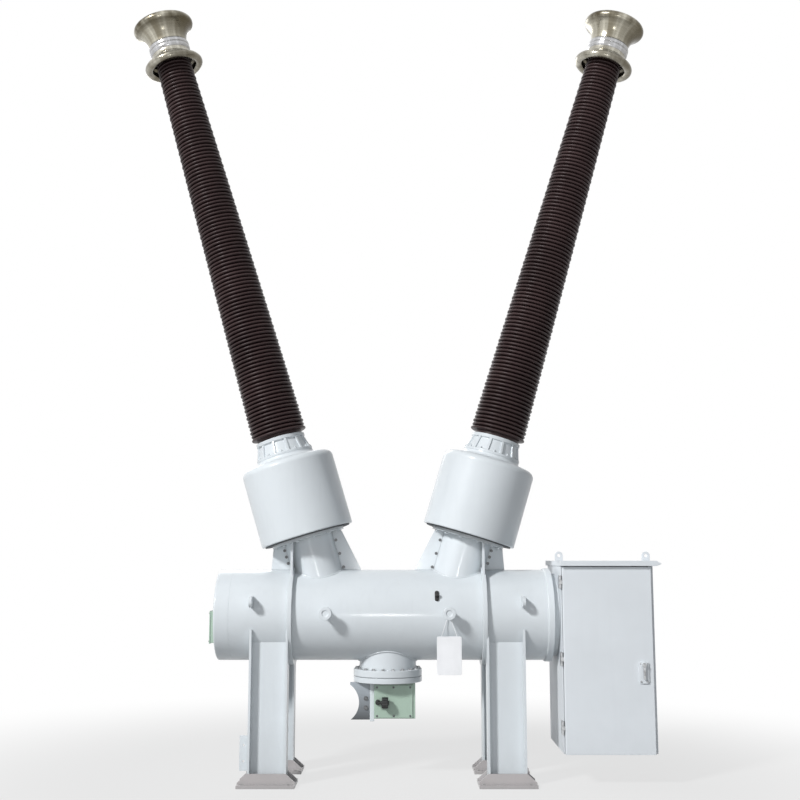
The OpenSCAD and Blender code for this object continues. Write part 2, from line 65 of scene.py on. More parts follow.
# Ways along X of the two bushings, and along Y of the front and the rear
SIDES = {"left": -1, "right": 1}
FACES = (-1, 1)

# Radius and height of the tank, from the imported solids
TANK_LO, TANK_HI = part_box("tank_shell")
TANK_R = (TANK_HI.z - TANK_LO.z) / 2
TANK_Z = (TANK_HI.z + TANK_LO.z) / 2

# Sizes of the solids that their boxes don't give
NECK_R = 0.165
NECK_FLANGE = 0.024
RING_PLATE = 0.016
STAY_PLATE = 0.012
COVER_DISH = 0.01

# Edges that meet at more than this angle are rounded; a hinge's edge is this share of a sheet's
SHARP_ANGLE = math.radians(32)
HINGE_EDGE = 0.6

# Lamps: name, place, width, height and watts
LAMPS = (("key_light", (-17.7, -18.3, 17.5), 4.4, 4.4, 7700.0),
         ("front_light", (-0.1, -9.0, 1.3), 0.9, 1.0, 66.0),
         ("back_light", (-3.0, 8.0, 6.5), 5.0, 5.0, 150.0))
LAMP_AIM = (0, 0, 2.2)

# Soft light of the surroundings: its way along Y, falloff and strength, and the level all round
SOFT_LIGHTS = ((-1.0, 2.0, 0.60), (1.0, 8.0, 2.2))
LEVEL_ALL_ROUND = 0.05
SOFT_TINT = (0.93, 0.96, 1.0, 1)

CAMERA_PLACE = (0.082, -7.66, 1.431)
CAMERA_TILT = 98.2
CAMERA_LENS, CAMERA_SENSOR = 50.0, 36.0


def mount(name):
    """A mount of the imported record, by its name."""
    return next(m for m in frame["record"]["mounts"] if m["name"] == name)


def bushing_matrix(side):
    """Frame of one bushing: the origin on the tank's axis, +Z outwards along the bushing."""
    stud = mount(f"terminal_{side}")
    axis = Vector(stud["axis"]).normalized()
    tip = Vector(stud["pos_m"])
    foot = tip - axis * ((tip.z - TANK_Z) / axis.z)
    return Matrix.Translation(foot) @ Matrix.Rotation(math.atan2(axis.x, axis.z), 4, "Y")


def turned(node, matrix):
    """Radius, foot and top of a turned solid, measured in a frame whose +Z is its axis."""
    back = matrix.inverted()
    points = [back @ v.co for v in frame["nodes"][node].data.vertices]
    wide = [p.y for p in points]
    tall = [p.z for p in points]
    return (max(wide) - min(wide)) / 2, min(tall), max(tall)


def trunnion_layout():
    """Cap radius and height of the trunnions, and their two places along the tank."""
    low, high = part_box("trunnions")
    cap = (high.z - low.z) / 2
    return cap, (high.z + low.z) / 2, (low.x + cap, high.x - cap)


def looking(point, direction):
    """Frame at a point with +Z along a direction."""
    turn = Vector(direction).to_track_quat("Z", "Y").to_matrix().to_4x4()
    return Matrix.Translation(Vector(point)) @ turn


def facing_front(depth):
    """Frame for a plate drawn in X and height: it stands at a depth and grows towards the front."""
    return Matrix.Translation((0, depth, 0)) @ Matrix.Rotation(math.pi / 2, 4, "X")


# Settings in the sidebar

def length(name, description, default):
    """A size in metres."""
    return bpy.props.FloatProperty(name=name, description=description, default=default,
                                   min=0.0001, unit="LENGTH", precision=4)


def count(name, description, default):
    """A whole number of like things."""
    return bpy.props.IntProperty(name=name, description=description, default=default, min=3, max=200)


def colour(name, description, default):
    """A plain colour."""
    return bpy.props.FloatVectorProperty(name=name, description=description, default=default,
                                         subtype="COLOR", size=3, min=0.0, max=1.0)


class BreakerSizes(bpy.types.PropertyGroup):
    """Sizes of the finish that the solids leave open."""
    plate_edge: length("Plate edge", "Rounding of the edges of welded plates", 0.003)
    sheet_edge: length("Sheet edge", "Rounding of the edges of folded sheet", 0.0018)
    turned_edge: length("Turned edge", "Rounding of the edges of turned pieces", 0.005)
    turning_steps: count("Turning steps", "Sides of a large turned piece", 112)
    shed_count: count("Sheds", "Pairs of a long and a short shed on each insulator", 53)
    shed_steps: count("Shed steps", "Sides of a shed", 64)
    shed_reach: length("Shed reach", "Overhang of a long shed from the core", 0.036)
    short_reach: length("Short reach", "Overhang of a short shed from the core", 0.033)
    shed_top_radius: length("Top shed radius", "Radius of the highest shed", 0.128)
    shed_tip: length("Shed tip", "Rounding of a shed's edge", 0.0085)
    shed_margin: length("Shed margin", "Plain porcelain at each end of an insulator", 0.02)
    shoulder: length("Shoulder", "Radius of the round shoulder of a transformer housing", 0.046)
    bolt: length("Bolt", "Radius of a bolt's head over its corners", 0.0115)
    collar_stud: length("Collar stud", "Radius of a collar stud's nut over its corners", 0.008)
    gusset_bolt: length("Gusset bolt", "Radius of a gusset bolt's head over its corners", 0.008)
    screw: length("Screw", "Radius of a sheet screw's head", 0.007)
    weld: length("Weld", "Radius of a weld bead", 0.006)


class BreakerColours(bpy.types.PropertyGroup):
    """Colours of the finishes."""
    paint: colour("Paint", "Pale grey paint of the tank and columns", (0.71, 0.755, 0.785))
    # Lighter than the tank's paint: painted light that makes up for the key light falling sideways on the door.
    cabinet: colour("Cabinet", "Powder coat of the cabinet", (0.78, 0.82, 0.855))
    # This colour is also the painted shade in the paint's corners and at the foot of the stay.
    grime: colour("Grime", "Dust and dirt that settle on the paint", (0.27, 0.28, 0.28))
    dust: colour("Dust", "Dusty paint of the feet", (0.50, 0.47, 0.47))
    # The stay's darker paint partly stands in for the shade on its recessed plate, as painted shade.
    stay: colour("Stay", "Weathered paint of the port's stay", (0.40, 0.44, 0.48))
    glaze: colour("Glaze", "Dark brown glaze of the insulators", (0.040, 0.0235, 0.0235))
    alloy: colour("Alloy", "Bare spun alloy of the upper shields", (0.52, 0.495, 0.415))
    # Lighter than the upper shields' alloy: painted reflection that stands in for the bright front of the lower
    # shields.
    worn: colour("Worn alloy", "Half-polished alloy of the lower shields", (0.56, 0.54, 0.47))
    # Paler and greyer than the spun alloy: partly a painted highlight on the waists and caps.
    bright: colour("Bright alloy", "Polished alloy of the shields' waists", (0.60, 0.605, 0.62))
    # Tarnish also darkens the alloy's faces away from the key light as painted shade, and its rims and the gaps
    # between bright runs as painted reflection.
    tarnish: colour("Tarnish", "Brown film that stays on the alloy where rain runs don't wash it",
                    (0.115, 0.090, 0.045))
    grey_green: colour("Grey green", "Paint of the gas box and the end box", (0.42, 0.55, 0.455))
    black: colour("Black", "Moulded black parts", (0.012, 0.013, 0.013))
    # The gasket's dark grey also stands in for the shade under the housings, as painted shade.
    gasket: colour("Gasket", "Grey insulating gasket below the housings", (0.085, 0.09, 0.095))
    tag: colour("Tag", "Blank hanging tag", (0.92, 0.93, 0.95))
    steel: colour("Steel", "Plated steel of the hinges and the handle", (0.45, 0.46, 0.47))
    bolt: colour("Bolt", "Weathered steel of bolts", (0.15, 0.155, 0.16))
    floor: colour("Floor", "Studio floor", (0.38, 0.38, 0.38))


# Node helpers

def put(tree, kind, inputs=None, **settings):
    """Adds a node; inputs maps a socket's name or number to a value or to another node's output."""
    node = tree.nodes.new(kind)
    for key, value in settings.items():
        setattr(node, key, value)
    for key, value in (inputs or {}).items():
        if isinstance(value, bpy.types.NodeSocket):
            tree.links.new(value, node.inputs[key])
        else:
            node.inputs[key].default_value = value
    return node


def blank_tree(owner):
    """The emptied node tree of a material or a world."""
    owner.use_nodes = True
    owner.node_tree.nodes.clear()
    return owner.node_tree


def maths(tree, operation, *values):
    """One maths node with its values in order."""
    return put(tree, "ShaderNodeMath", dict(enumerate(values)), operation=operation).outputs[0]


def split(tree, vector):
    """The three parts of a vector."""
    return put(tree, "ShaderNodeSeparateXYZ", {0: vector}).outputs


# Materials

class Finish:
    """A material under construction, with the patterns that several finishes share."""

    def __init__(self, name, place=None):
        self.material = bpy.data.materials.new(name)
        self.tree = blank_tree(self.material)
        self.shader = put(self.tree, "ShaderNodeBsdfPrincipled")
        out = put(self.tree, "ShaderNodeOutputMaterial")
        self.tree.links.new(self.shader.outputs[0], out.inputs[0])
        self.coords = put(self.tree, "ShaderNodeTexCoord").outputs["Object"]
        if place is not None:
            back = place.inverted()
            self.coords = put(self.tree, "ShaderNodeMapping",
                              {"Vector": self.coords, "Location": back.to_translation(),
                               "Rotation": back.to_euler()}).outputs[0]

    def noise(self, scale, detail=3.0, stretch=(1, 1, 1), offset=(0, 0, 0)):
        """Noise in the object's own coordinates, in repeats for each metre."""
        vector = put(self.tree, "ShaderNodeMapping",
                     {"Vector": self.coords, "Scale": stretch, "Location": offset}).outputs[0]
        return put(self.tree, "ShaderNodeTexNoise",
                   {"Vector": vector, "Scale": scale, "Detail": detail}).outputs[0]

    def bands(self, along, scale, detail):
        """Noise that changes only along one value, in repeats for each metre."""
        return put(self.tree, "ShaderNodeTexNoise", {"W": along, "Scale": scale, "Detail": detail},
                   noise_dimensions="1D").outputs[0]

    def ramp(self, value, low, high, to_low=0.0, to_high=1.0):
        """A value stretched from one range to another, and held inside it."""
        return put(self.tree, "ShaderNodeMapRange",
                   {0: value, 1: low, 2: high, 3: to_low, 4: to_high}).outputs[0]

    def times(self, value, factor):
        """A value multiplied by another."""
        return maths(self.tree, "MULTIPLY", value, factor)

    def mix(self, share, first, second):
        """Two colours mixed by a share; a plain colour is three numbers."""
        inputs = {0: share}
        for socket, value in ((6, first), (7, second)):
            inputs[socket] = value if isinstance(value, bpy.types.NodeSocket) else (*value, 1.0)
        return put(self.tree, "ShaderNodeMix", inputs, data_type="RGBA").outputs[2]

    def crevice(self, reach):
        """1 deep in a corner, 0 out on an open face."""
        shade = put(self.tree, "ShaderNodeAmbientOcclusion", {"Distance": reach}, samples=6)
        return maths(self.tree, "SUBTRACT", 1.0, shade.outputs["AO"])

    def height(self):
        """Height above the ground, in metres."""
        return split(self.tree, self.coords)[2]

    def looks(self, direction):
        """How much a face looks along a direction, from -1 to 1."""
        normal = put(self.tree, "ShaderNodeNewGeometry").outputs["Normal"]
        return put(self.tree, "ShaderNodeVectorMath", {0: normal, 1: direction},
                   operation="DOT_PRODUCT").outputs["Value"]

    def bump(self, *layers):
        """Stacks bumps: each layer is a height, its depth in metres and its strength."""
        normal = None
        for value, depth, strength in layers:
            inputs = {"Height": value, "Distance": depth, "Strength": strength}
            if normal is not None:
                inputs["Normal"] = normal
            normal = put(self.tree, "ShaderNodeBump", inputs).outputs[0]
        self.tree.links.new(normal, self.shader.inputs["Normal"])

    def done(self, base, rough, **sockets):
        """Links the colour and the roughness, and sets the plain sockets."""
        self.tree.links.new(base, self.shader.inputs["Base Color"])
        self.tree.links.new(rough, self.shader.inputs["Roughness"])
        for name, value in sockets.items():
            self.shader.inputs[name.replace("_", " ").title().replace("Ior", "IOR")].default_value = value
        return self.material


def shade(rgb, factor):
    """A colour made lighter or darker."""
    return tuple(min(1.0, c * factor) for c in rgb)


def paint_finish(name, rgb, grime, peel=420.0, peel_depth=0.0004, wear_and_shade=1.0, cast=0.0, gloss=0.36,
                 shade_heights=None):
    """Sprayed paint: cloudy tone, faint rain streaks, dirt and painted shade in corners, dust near the ground,
    fine peel.

    Peel is the grain of the spray in repeats for each metre, cast the strength of a casting's grain,
    and shade_heights the two heights between which a painted shade fades from black to none.
    """
    finish = Finish(name)
    cloud = finish.noise(1.7, 4.0)
    patch = finish.noise(7.0, 5.0, offset=(3.1, 1.7, 0.4))
    streak = finish.ramp(finish.noise(1.0, 3.0, stretch=(26, 26, 1.4)), 0.52, 0.72)
    # Corners and creases darkened to the grime colour by ambient occlusion: partly dirt, partly painted shade.
    corner = finish.ramp(finish.crevice(0.045), 0.25, 0.95, 0.0, 0.5 * wear_and_shade)
    ground = finish.ramp(finish.height(), 0.42, 0.0, 0.0, 0.30)
    base = finish.mix(finish.ramp(cloud, 0.35, 0.65), shade(rgb, 0.955), shade(rgb, 1.025))
    base = finish.mix(finish.times(finish.ramp(patch, 0.5, 0.8), 0.12 * wear_and_shade), base, shade(rgb, 0.86))
    base = finish.mix(finish.times(streak, 0.03 * wear_and_shade), base, grime)
    base = finish.mix(corner, base, grime)
    base = finish.mix(finish.times(ground, patch), base, shade(grime, 1.25))
    # Painted shade: the paint gets darker towards the bottom, black at the lower height.
    if shade_heights:
        base = finish.mix(finish.ramp(finish.height(), *shade_heights, 1.0, 0.0), base, shade(grime, 0.25))
    rough = finish.ramp(patch, 0.3, 0.7, 0.34, 0.47)
    layers = [(finish.noise(2.6, 2.0, offset=(0, 0, 5)), 0.004, 0.10),
              (finish.noise(peel, 1.0), peel_depth, 0.16)]
    if cast:
        layers.append((finish.noise(95.0, 3.0), 0.0014, cast))
    finish.bump(*layers)
    return finish.done(base, rough, specular_ior_level=0.25, coat_weight=gloss, coat_roughness=0.12)


def glaze_finish(name, rgb):
    """Dark brown glaze: a cloudy tone, with a little dust on the upper faces."""
    finish = Finish(name)
    cloud = finish.noise(3.2, 4.0)
    base = finish.mix(finish.ramp(cloud, 0.35, 0.7), shade(rgb, 0.8), shade(rgb, 1.35))
    dust = finish.ramp(finish.looks((0, 0, 1)), 0.35, 0.95, 0.0, 0.06)
    base = finish.mix(finish.times(dust, cloud), base, (0.19, 0.165, 0.16))
    rough = finish.ramp(finish.noise(11.0, 3.0), 0.3, 0.7, 0.34, 0.44)
    finish.bump((finish.noise(26.0, 2.0), 0.0010, 0.12))
    return finish.done(base, rough, specular_ior_level=0.2)


def spun_finish(name, rgb, film, place, tarnish):
    """Bare alloy spun on a lathe: fine rings round the bushing's axis, rain runs that are also painted reflection
    streaks, stains, a brown film and painted shade.

    The film stays between the rain runs, on the rims and in corners. On the faces turned away from the key light
    it is painted shade, and on the rims and between the runs it also stands in for dark reflections, as painted
    reflection.
    """
    # Painted shade: faces that turn away from the key light, to the right and down, darken with the film.
    away_from_light = (0.78, 0.18, -0.6)
    finish = Finish(name, place)
    x, y, z = split(finish.tree, finish.coords)
    flat = put(finish.tree, "ShaderNodeCombineXYZ", {0: x, 1: y}).outputs[0]
    radius = put(finish.tree, "ShaderNodeVectorMath", {0: flat}, operation="LENGTH").outputs["Value"]
    outward = put(finish.tree, "ShaderNodeVectorMath", {0: flat}, operation="NORMALIZE").outputs[0]
    along = maths(finish.tree, "ADD", finish.times(radius, 0.8), z)
    rings = finish.bands(along, 620.0, 2.0)
    broad = finish.bands(along, 46.0, 3.0)
    # Rain runs round the axis: brown film between them and bright streaks on them, partly stains and partly
    # painted reflection.
    runs = put(finish.tree, "ShaderNodeTexNoise",
               {"Vector": outward, "Scale": 2.3, "Detail": 3.0}).outputs[0]
    stain = finish.ramp(finish.noise(6.5, 5.0), 0.42, 0.72)
    # Brown film on the rims: partly tarnish, partly painted reflection of dark surroundings.
    rim = finish.times(finish.ramp(radius, 0.165, 0.215, 0.0, tarnish),
                       finish.ramp(finish.noise(9.0, 3.0, offset=(4, 2, 1)), 0.36, 0.6))
    base = finish.mix(finish.ramp(broad, 0.3, 0.7), shade(rgb, 0.85), shade(rgb, 1.12))
    base = finish.mix(finish.ramp(runs, 0.36, 0.56, 0.75 * tarnish, 0.0), base, film)
    # Painted reflection: bright streaks along the bushing's axis.
    base = finish.mix(finish.ramp(runs, 0.54, 0.66), base, shade(rgb, 1.45))
    base = finish.mix(finish.times(stain, 0.4), base, shade(rgb, 0.5))
    base = finish.mix(rim, base, shade(film, 0.55))
    base = finish.mix(finish.ramp(finish.looks(away_from_light), 0.0, 0.85, 0.0, tarnish), base, shade(film, 0.6))
    base = finish.mix(finish.ramp(finish.crevice(0.12), 0.2, 0.9, 0.0, 0.6), base, shade(film, 0.7))
    rough = finish.ramp(maths(finish.tree, "ADD", broad, stain), 0.5, 1.5, 0.20, 0.34)
    finish.bump((broad, 0.0008, 0.06), (rings, 0.00025, 0.10))
    return finish.done(base, rough, metallic=0.85)


def steel_finish(name, rgb):
    """Zinc-plated steel: mottled grey, with a little rust in the corners."""
    finish = Finish(name)
    mottle = finish.noise(48.0, 4.0)
    base = finish.mix(finish.ramp(mottle, 0.35, 0.65), shade(rgb, 0.72), shade(rgb, 1.2))
    rust = finish.times(finish.ramp(finish.crevice(0.02), 0.35, 0.9),
                        finish.ramp(finish.noise(30.0, 3.0), 0.4, 0.7))
    base = finish.mix(finish.times(rust, 0.5), base, (0.12, 0.06, 0.03))
    rough = finish.ramp(mottle, 0.3, 0.7, 0.34, 0.55)
    finish.bump((finish.noise(260.0, 2.0), 0.0003, 0.25))
    return finish.done(base, rough, metallic=0.85)


def moulded_finish(name, rgb, grain=340.0, rough_low=0.42, rough_high=0.6):
    """Moulded plastic or rubber: fine grain, with scuffed paler patches."""
    finish = Finish(name)
    scuff = finish.ramp(finish.noise(22.0, 5.0), 0.5, 0.78)
    base = finish.mix(finish.times(scuff, 0.35), rgb, shade(rgb, 2.2))
    rough = finish.ramp(finish.noise(14.0, 3.0), 0.3, 0.7, rough_low, rough_high)
    finish.bump((finish.noise(grain, 1.0), 0.0003, 0.3))
    return finish.done(base, rough)


def tag_finish(name, rgb, grime):
    """Blank sheet that hangs on the tank: faint creases and soiled patches."""
    finish = Finish(name)
    crease = finish.noise(9.0, 2.0, stretch=(1, 1, 0.4))
    soil = finish.ramp(finish.noise(16.0, 5.0), 0.5, 0.85)
    base = finish.mix(finish.ramp(crease, 0.35, 0.65), shade(rgb, 0.96), shade(rgb, 1.04))
    base = finish.mix(finish.times(soil, 0.10), base, grime)
    rough = finish.ramp(crease, 0.3, 0.7, 0.4, 0.55)
    finish.bump((crease, 0.003, 0.2))
    return finish.done(base, rough)


MATERIALS = {}


def make_materials(colours):
    """Fills the table of finishes that the pieces use."""
    tone = {name: tuple(getattr(colours, name)) for name in BreakerColours.__annotations__}
    paint, grime, film = tone["paint"], tone["grime"], tone["tarnish"]
    stay_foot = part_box("port_bracket")[0].z
    soft_grain, soft_low, soft_high = 180.0, 0.6, 0.8
    MATERIALS.update({
        "paint": paint_finish("satin_paint", paint, grime),
        # The collars' paint is a darker copy of the tank's paint, as painted shade on them.
        "cast_paint": paint_finish("painted_casting", shade(paint, 0.94), grime, cast=0.30, wear_and_shade=0.5),
        "cabinet_paint": paint_finish("powder_coat", tone["cabinet"], grime, peel=560.0,
                                      peel_depth=0.0003, wear_and_shade=0.5, gloss=0.0),
        "grey_green_paint": paint_finish("grey_green_paint", tone["grey_green"], shade(grime, 0.5),
                                         wear_and_shade=1.5),
        "glaze": glaze_finish("brown_glaze", tone["glaze"]),
        "foot_paint": paint_finish("dusty_paint", tone["dust"], grime, wear_and_shade=1.5),
        # The stay's plate: darker paint that goes black towards its foot, as painted shade.
        "stay_paint": paint_finish("weathered_paint", tone["stay"], shade(grime, 0.5), wear_and_shade=1.6,
                                   shade_heights=(stay_foot - 0.02, stay_foot + 0.22)),
        "steel": steel_finish("plated_steel", tone["steel"]),
        "dark_steel": steel_finish("weathered_steel", tone["bolt"]),
        "dark_plastic": moulded_finish("black_plastic", tone["black"]),
        "rubber": moulded_finish("rubber_seal", shade(tone["black"], 1.4), soft_grain, soft_low, soft_high),
        "gasket": moulded_finish("grey_gasket", tone["gasket"], soft_grain, soft_low, soft_high),
        "tag": tag_finish("blank_tag", tone["tag"], grime),
    })
    for side in SIDES:
        place = bushing_matrix(side)
        for name, rgb, tarnish in (("spun_alloy", tone["alloy"], 0.9), ("worn_alloy", tone["worn"], 0.7),
                                   ("bright_alloy", tone["bright"], 0.4)):
            finish = f"{name}_{side}"
            MATERIALS[finish] = spun_finish(finish, rgb, film, place, tarnish)


def dress(node, material):
    """Gives a solid that stays in view its finish."""
    mesh = frame["nodes"][node].data
    mesh.materials.clear()
    mesh.materials.append(MATERIALS[material])


# Outlines

def arc(centre, radius, start, end, steps):
    """Points on an arc, from one angle in degrees to another."""
    angles = [math.radians(start + (end - start) * i / steps) for i in range(steps + 1)]
    return [(centre[0] + radius * math.cos(a), centre[1] + radius * math.sin(a)) for a in angles]


def oblong(x0, x1, y0, y1):
    """Corners of an upright rectangle."""
    return [(x0, y0), (x1, y0), (x1, y1), (x0, y1)]


def rounded(corners, radius, steps=4, closed=False):
    """An outline with its corners rounded; a corner may carry a radius of its own as a third number."""
    around = [corners[-1], *corners, corners[0]] if closed else corners
    points = [] if closed else [Vector(corners[0][:2])]
    for before, here, after in zip(around, around[1:], around[2:]):
        corner = Vector(here[:2])
        to_before = Vector(before[:2]) - corner
        to_after = Vector(after[:2]) - corner
        own = here[2] if len(here) > 2 else radius
        reach = min(own, 0.49 * to_before.length, 0.49 * to_after.length)
        first = corner + to_before.normalized() * reach
        last = corner + to_after.normalized() * reach
        for i in range(steps + 1):
            w = i / steps
            points.append(first * (1 - w) ** 2 + corner * (2 * w * (1 - w)) + last * w ** 2)
    if not closed:
        points.append(Vector(corners[-1][:2]))
    return [(p[0], p[1]) for p in points]


# Mesh helpers

def turn_profile(bm, profile, matrix, steps, closed=False, lobes=0, lobe_depth=0.0):
    """Adds a turned shell from (radius, height) points; a radius of nought closes it at a pole."""
    rings = []
    for radius, height in profile:
        if radius < 1e-6:
            rings.append([bm.verts.new(matrix @ Vector((0, 0, height)))])
            continue
        ring = []
        for i in range(steps):
            angle = 2 * math.pi * i / steps
            reach = radius * (1 - lobe_depth * (0.5 - 0.5 * math.cos(lobes * angle)))
            point = Vector((reach * math.cos(angle), reach * math.sin(angle), height))
            ring.append(bm.verts.new(matrix @ point))
        rings.append(ring)
    pairs = list(zip(rings, rings[1:]))
    if closed:
        pairs.append((rings[-1], rings[0]))
    for lower, upper in pairs:
        for i in range(steps):
            j = (i + 1) % steps
            corners = [lower[i % len(lower)], lower[j % len(lower)],
                       upper[j % len(upper)], upper[i % len(upper)]]
            unique = list(dict.fromkeys(corners))
            if len(unique) > 2:
                bm.faces.new(unique)


def turning(profile, matrix, steps, closed=False):
    """A new turned shell."""
    bm = bmesh.new()
    turn_profile(bm, profile, matrix, steps, closed)
    return bm


def extrude_outline(bm, outline, depth, matrix):
    """Adds a plate: a flat outline in XY, given a depth along Z."""
    bottom = [bm.verts.new(matrix @ Vector((x, y, 0))) for x, y in outline]
    top = [bm.verts.new(matrix @ Vector((x, y, depth))) for x, y in outline]
    bm.faces.new(list(reversed(bottom)))
    bm.faces.new(top)
    for i in range(len(outline)):
        j = (i + 1) % len(outline)
        bm.faces.new([bottom[i], bottom[j], top[j], top[i]])


def add_block(bm, low, high):
    """Adds a block between two corners."""
    size = Vector(high) - Vector(low)
    place = Matrix.Translation((Vector(low) + Vector(high)) / 2) @ Matrix.Diagonal((*size, 1))
    bmesh.ops.create_cube(bm, size=1.0, matrix=place)


def bevel_sharp(bm, width, segments=2):
    """Rounds the edges where two faces meet at a sharp angle."""
    sharp = [e for e in bm.edges if len(e.link_faces) == 2 and e.calc_face_angle() > SHARP_ANGLE]
    bmesh.ops.bevel(bm, geom=sharp, offset=width, segments=segments, profile=0.5, affect="EDGES",
                    clamp_overlap=True)


def cut_plate(outline, depth, matrix, edge, segments=2):
    """A plate cut to an outline, with its edges rounded."""
    bm = bmesh.new()
    extrude_outline(bm, outline, depth, matrix)
    bmesh.ops.recalc_face_normals(bm, faces=bm.faces)
    bevel_sharp(bm, edge, segments)
    return bm


def as_mesh(bm, name):
    """A bmesh as a plain mesh with its faces outwards."""
    bmesh.ops.recalc_face_normals(bm, faces=bm.faces)
    mesh = bpy.data.meshes.new(name)
    bm.to_mesh(mesh)
    bm.free()
    return mesh


def joined(meshes):
    """Several plain meshes as one bmesh."""
    bm = bmesh.new()
    for mesh in meshes:
        bm.from_mesh(mesh)
    return bm


def settle(holder):
    """Swaps an object's modifiers for the plain mesh that they make."""
    bpy.context.view_layer.update()
    evaluated = holder.evaluated_get(bpy.context.evaluated_depsgraph_get())
    mesh = bpy.data.meshes.new_from_object(evaluated)
    holder.modifiers.clear()
    holder.data = mesh
    return mesh


def piece(name, bm, material, body="breaker", nodes=(), angle=38, weighted=True):
    """Finishes a bmesh as a piece that rides on a body and may stand for solids."""
    mesh = as_mesh(bm, name)
    mesh.shade_smooth()
    mesh.set_sharp_from_angle(angle=math.radians(angle))
    obj = bpy.data.objects.new(name, mesh)
    bpy.context.scene.collection.objects.link(obj)
    mesh.materials.clear()
    mesh.materials.append(MATERIALS[material])
    if weighted:
        normals = obj.modifiers.new("face_normals", "WEIGHTED_NORMAL")
        normals.keep_sharp = True
        settle(obj).name = name
    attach(obj, body)
    if nodes:
        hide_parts(*nodes)


def softened_piece(name, node, width, slot="paint", material=None, body="breaker"):
    """A merged copy of a solid with its sharp edges rounded, as the piece that stands for it."""
    bm = bmesh.new()
    bm.from_mesh(frame["nodes"][node].data)
    bmesh.ops.remove_doubles(bm, verts=bm.verts, dist=1e-5)
    bmesh.ops.dissolve_limit(bm, angle_limit=math.radians(0.6), verts=bm.verts, edges=bm.edges)
    bevel_sharp(bm, width)
    piece(name, bm, material or slot, body, nodes=[node])


# Geometry node trees for what repeats

def new_tree(name, sockets):
    """A geometry tree with named inputs and a geometry output, and its input node's sockets."""
    tree = bpy.data.node_groups.new(name, "GeometryNodeTree")
    for label, kind in sockets.items():
        tree.interface.new_socket(label, in_out="INPUT", socket_type=f"NodeSocket{kind}")
    tree.interface.new_socket("Geometry", in_out="OUTPUT", socket_type="NodeSocketGeometry")
    return tree, tree.nodes.new("NodeGroupInput").outputs


def close_tree(tree, geometry, material):
    """Ends a tree: instances realized, material set."""
    real = put(tree, "GeometryNodeRealizeInstances", {0: geometry}).outputs[0]
    made = put(tree, "GeometryNodeSetMaterial", {"Geometry": real, "Material": material}).outputs[0]
    put(tree, "NodeGroupOutput", {0: made})
    return tree


def ring_tree():
    """Copies of an item on a circle round +Z, each turned to face outwards."""
    tree, given = new_tree("ring_of_items", {"Geometry": "Geometry", "Count": "Int", "Radius": "Float",
                                             "First Angle": "Float", "Material": "Material"})
    circle = put(tree, "GeometryNodeMeshCircle", {"Vertices": given["Count"], "Radius": given["Radius"]})
    step = maths(tree, "DIVIDE", 2 * math.pi, given["Count"])
    index = put(tree, "GeometryNodeInputIndex").outputs[0]
    turn = put(tree, "ShaderNodeCombineXYZ", {2: maths(tree, "MULTIPLY", index, step)}).outputs[0]
    items = put(tree, "GeometryNodeInstanceOnPoints",
                {"Points": circle.outputs[0], "Instance": given["Geometry"], "Rotation": turn})
    first = put(tree, "ShaderNodeCombineXYZ", {2: given["First Angle"]}).outputs[0]
    moved = put(tree, "GeometryNodeTransform", {"Geometry": items.outputs[0], "Rotation": first})
    return close_tree(tree, moved.outputs[0], given["Material"])


def row_tree():
    """Copies of an item along a straight row that starts at the origin."""
    tree, given = new_tree("row_of_items", {"Geometry": "Geometry", "Count": "Int", "Step": "Vector",
                                            "Material": "Material"})
    row = put(tree, "GeometryNodeMeshLine", {"Count": given["Count"], "Offset": given["Step"]})
    items = put(tree, "GeometryNodeInstanceOnPoints",
                {"Points": row.outputs[0], "Instance": given["Geometry"]})
    return close_tree(tree, items.outputs[0], given["Material"])


def shed_tree():
    """A tapering stack of sheds along +Z: like sheds on a row of points, drawn in as they rise."""
    tree, given = new_tree("stack_of_sheds", {"Geometry": "Geometry", "Count": "Int", "Pitch": "Float",
                                              "Taper": "Float", "Material": "Material"})
    step = put(tree, "ShaderNodeCombineXYZ", {2: given["Pitch"]}).outputs[0]
    row = put(tree, "GeometryNodeMeshLine", {"Count": given["Count"], "Offset": step})
    sheds = put(tree, "GeometryNodeInstanceOnPoints",
                {"Points": row.outputs[0], "Instance": given["Geometry"]})
    real = put(tree, "GeometryNodeRealizeInstances", {0: sheds.outputs[0]})
    merged = put(tree, "GeometryNodeMergeByDistance", {"Geometry": real.outputs[0], "Distance": 1e-5})
    x, y, z = split(tree, put(tree, "GeometryNodeInputPosition").outputs[0])
    flat = put(tree, "ShaderNodeCombineXYZ", {0: x, 1: y}).outputs[0]
    outward = put(tree, "ShaderNodeVectorMath", {0: flat}, operation="NORMALIZE").outputs[0]
    inset = maths(tree, "MULTIPLY", maths(tree, "MULTIPLY", z, given["Taper"]), -1.0)
    shift = put(tree, "ShaderNodeVectorMath", {0: outward, "Scale": inset}, operation="SCALE").outputs[0]
    drawn = put(tree, "GeometryNodeSetPosition", {"Geometry": merged.outputs[0], "Offset": shift})
    return close_tree(tree, drawn.outputs[0], given["Material"])


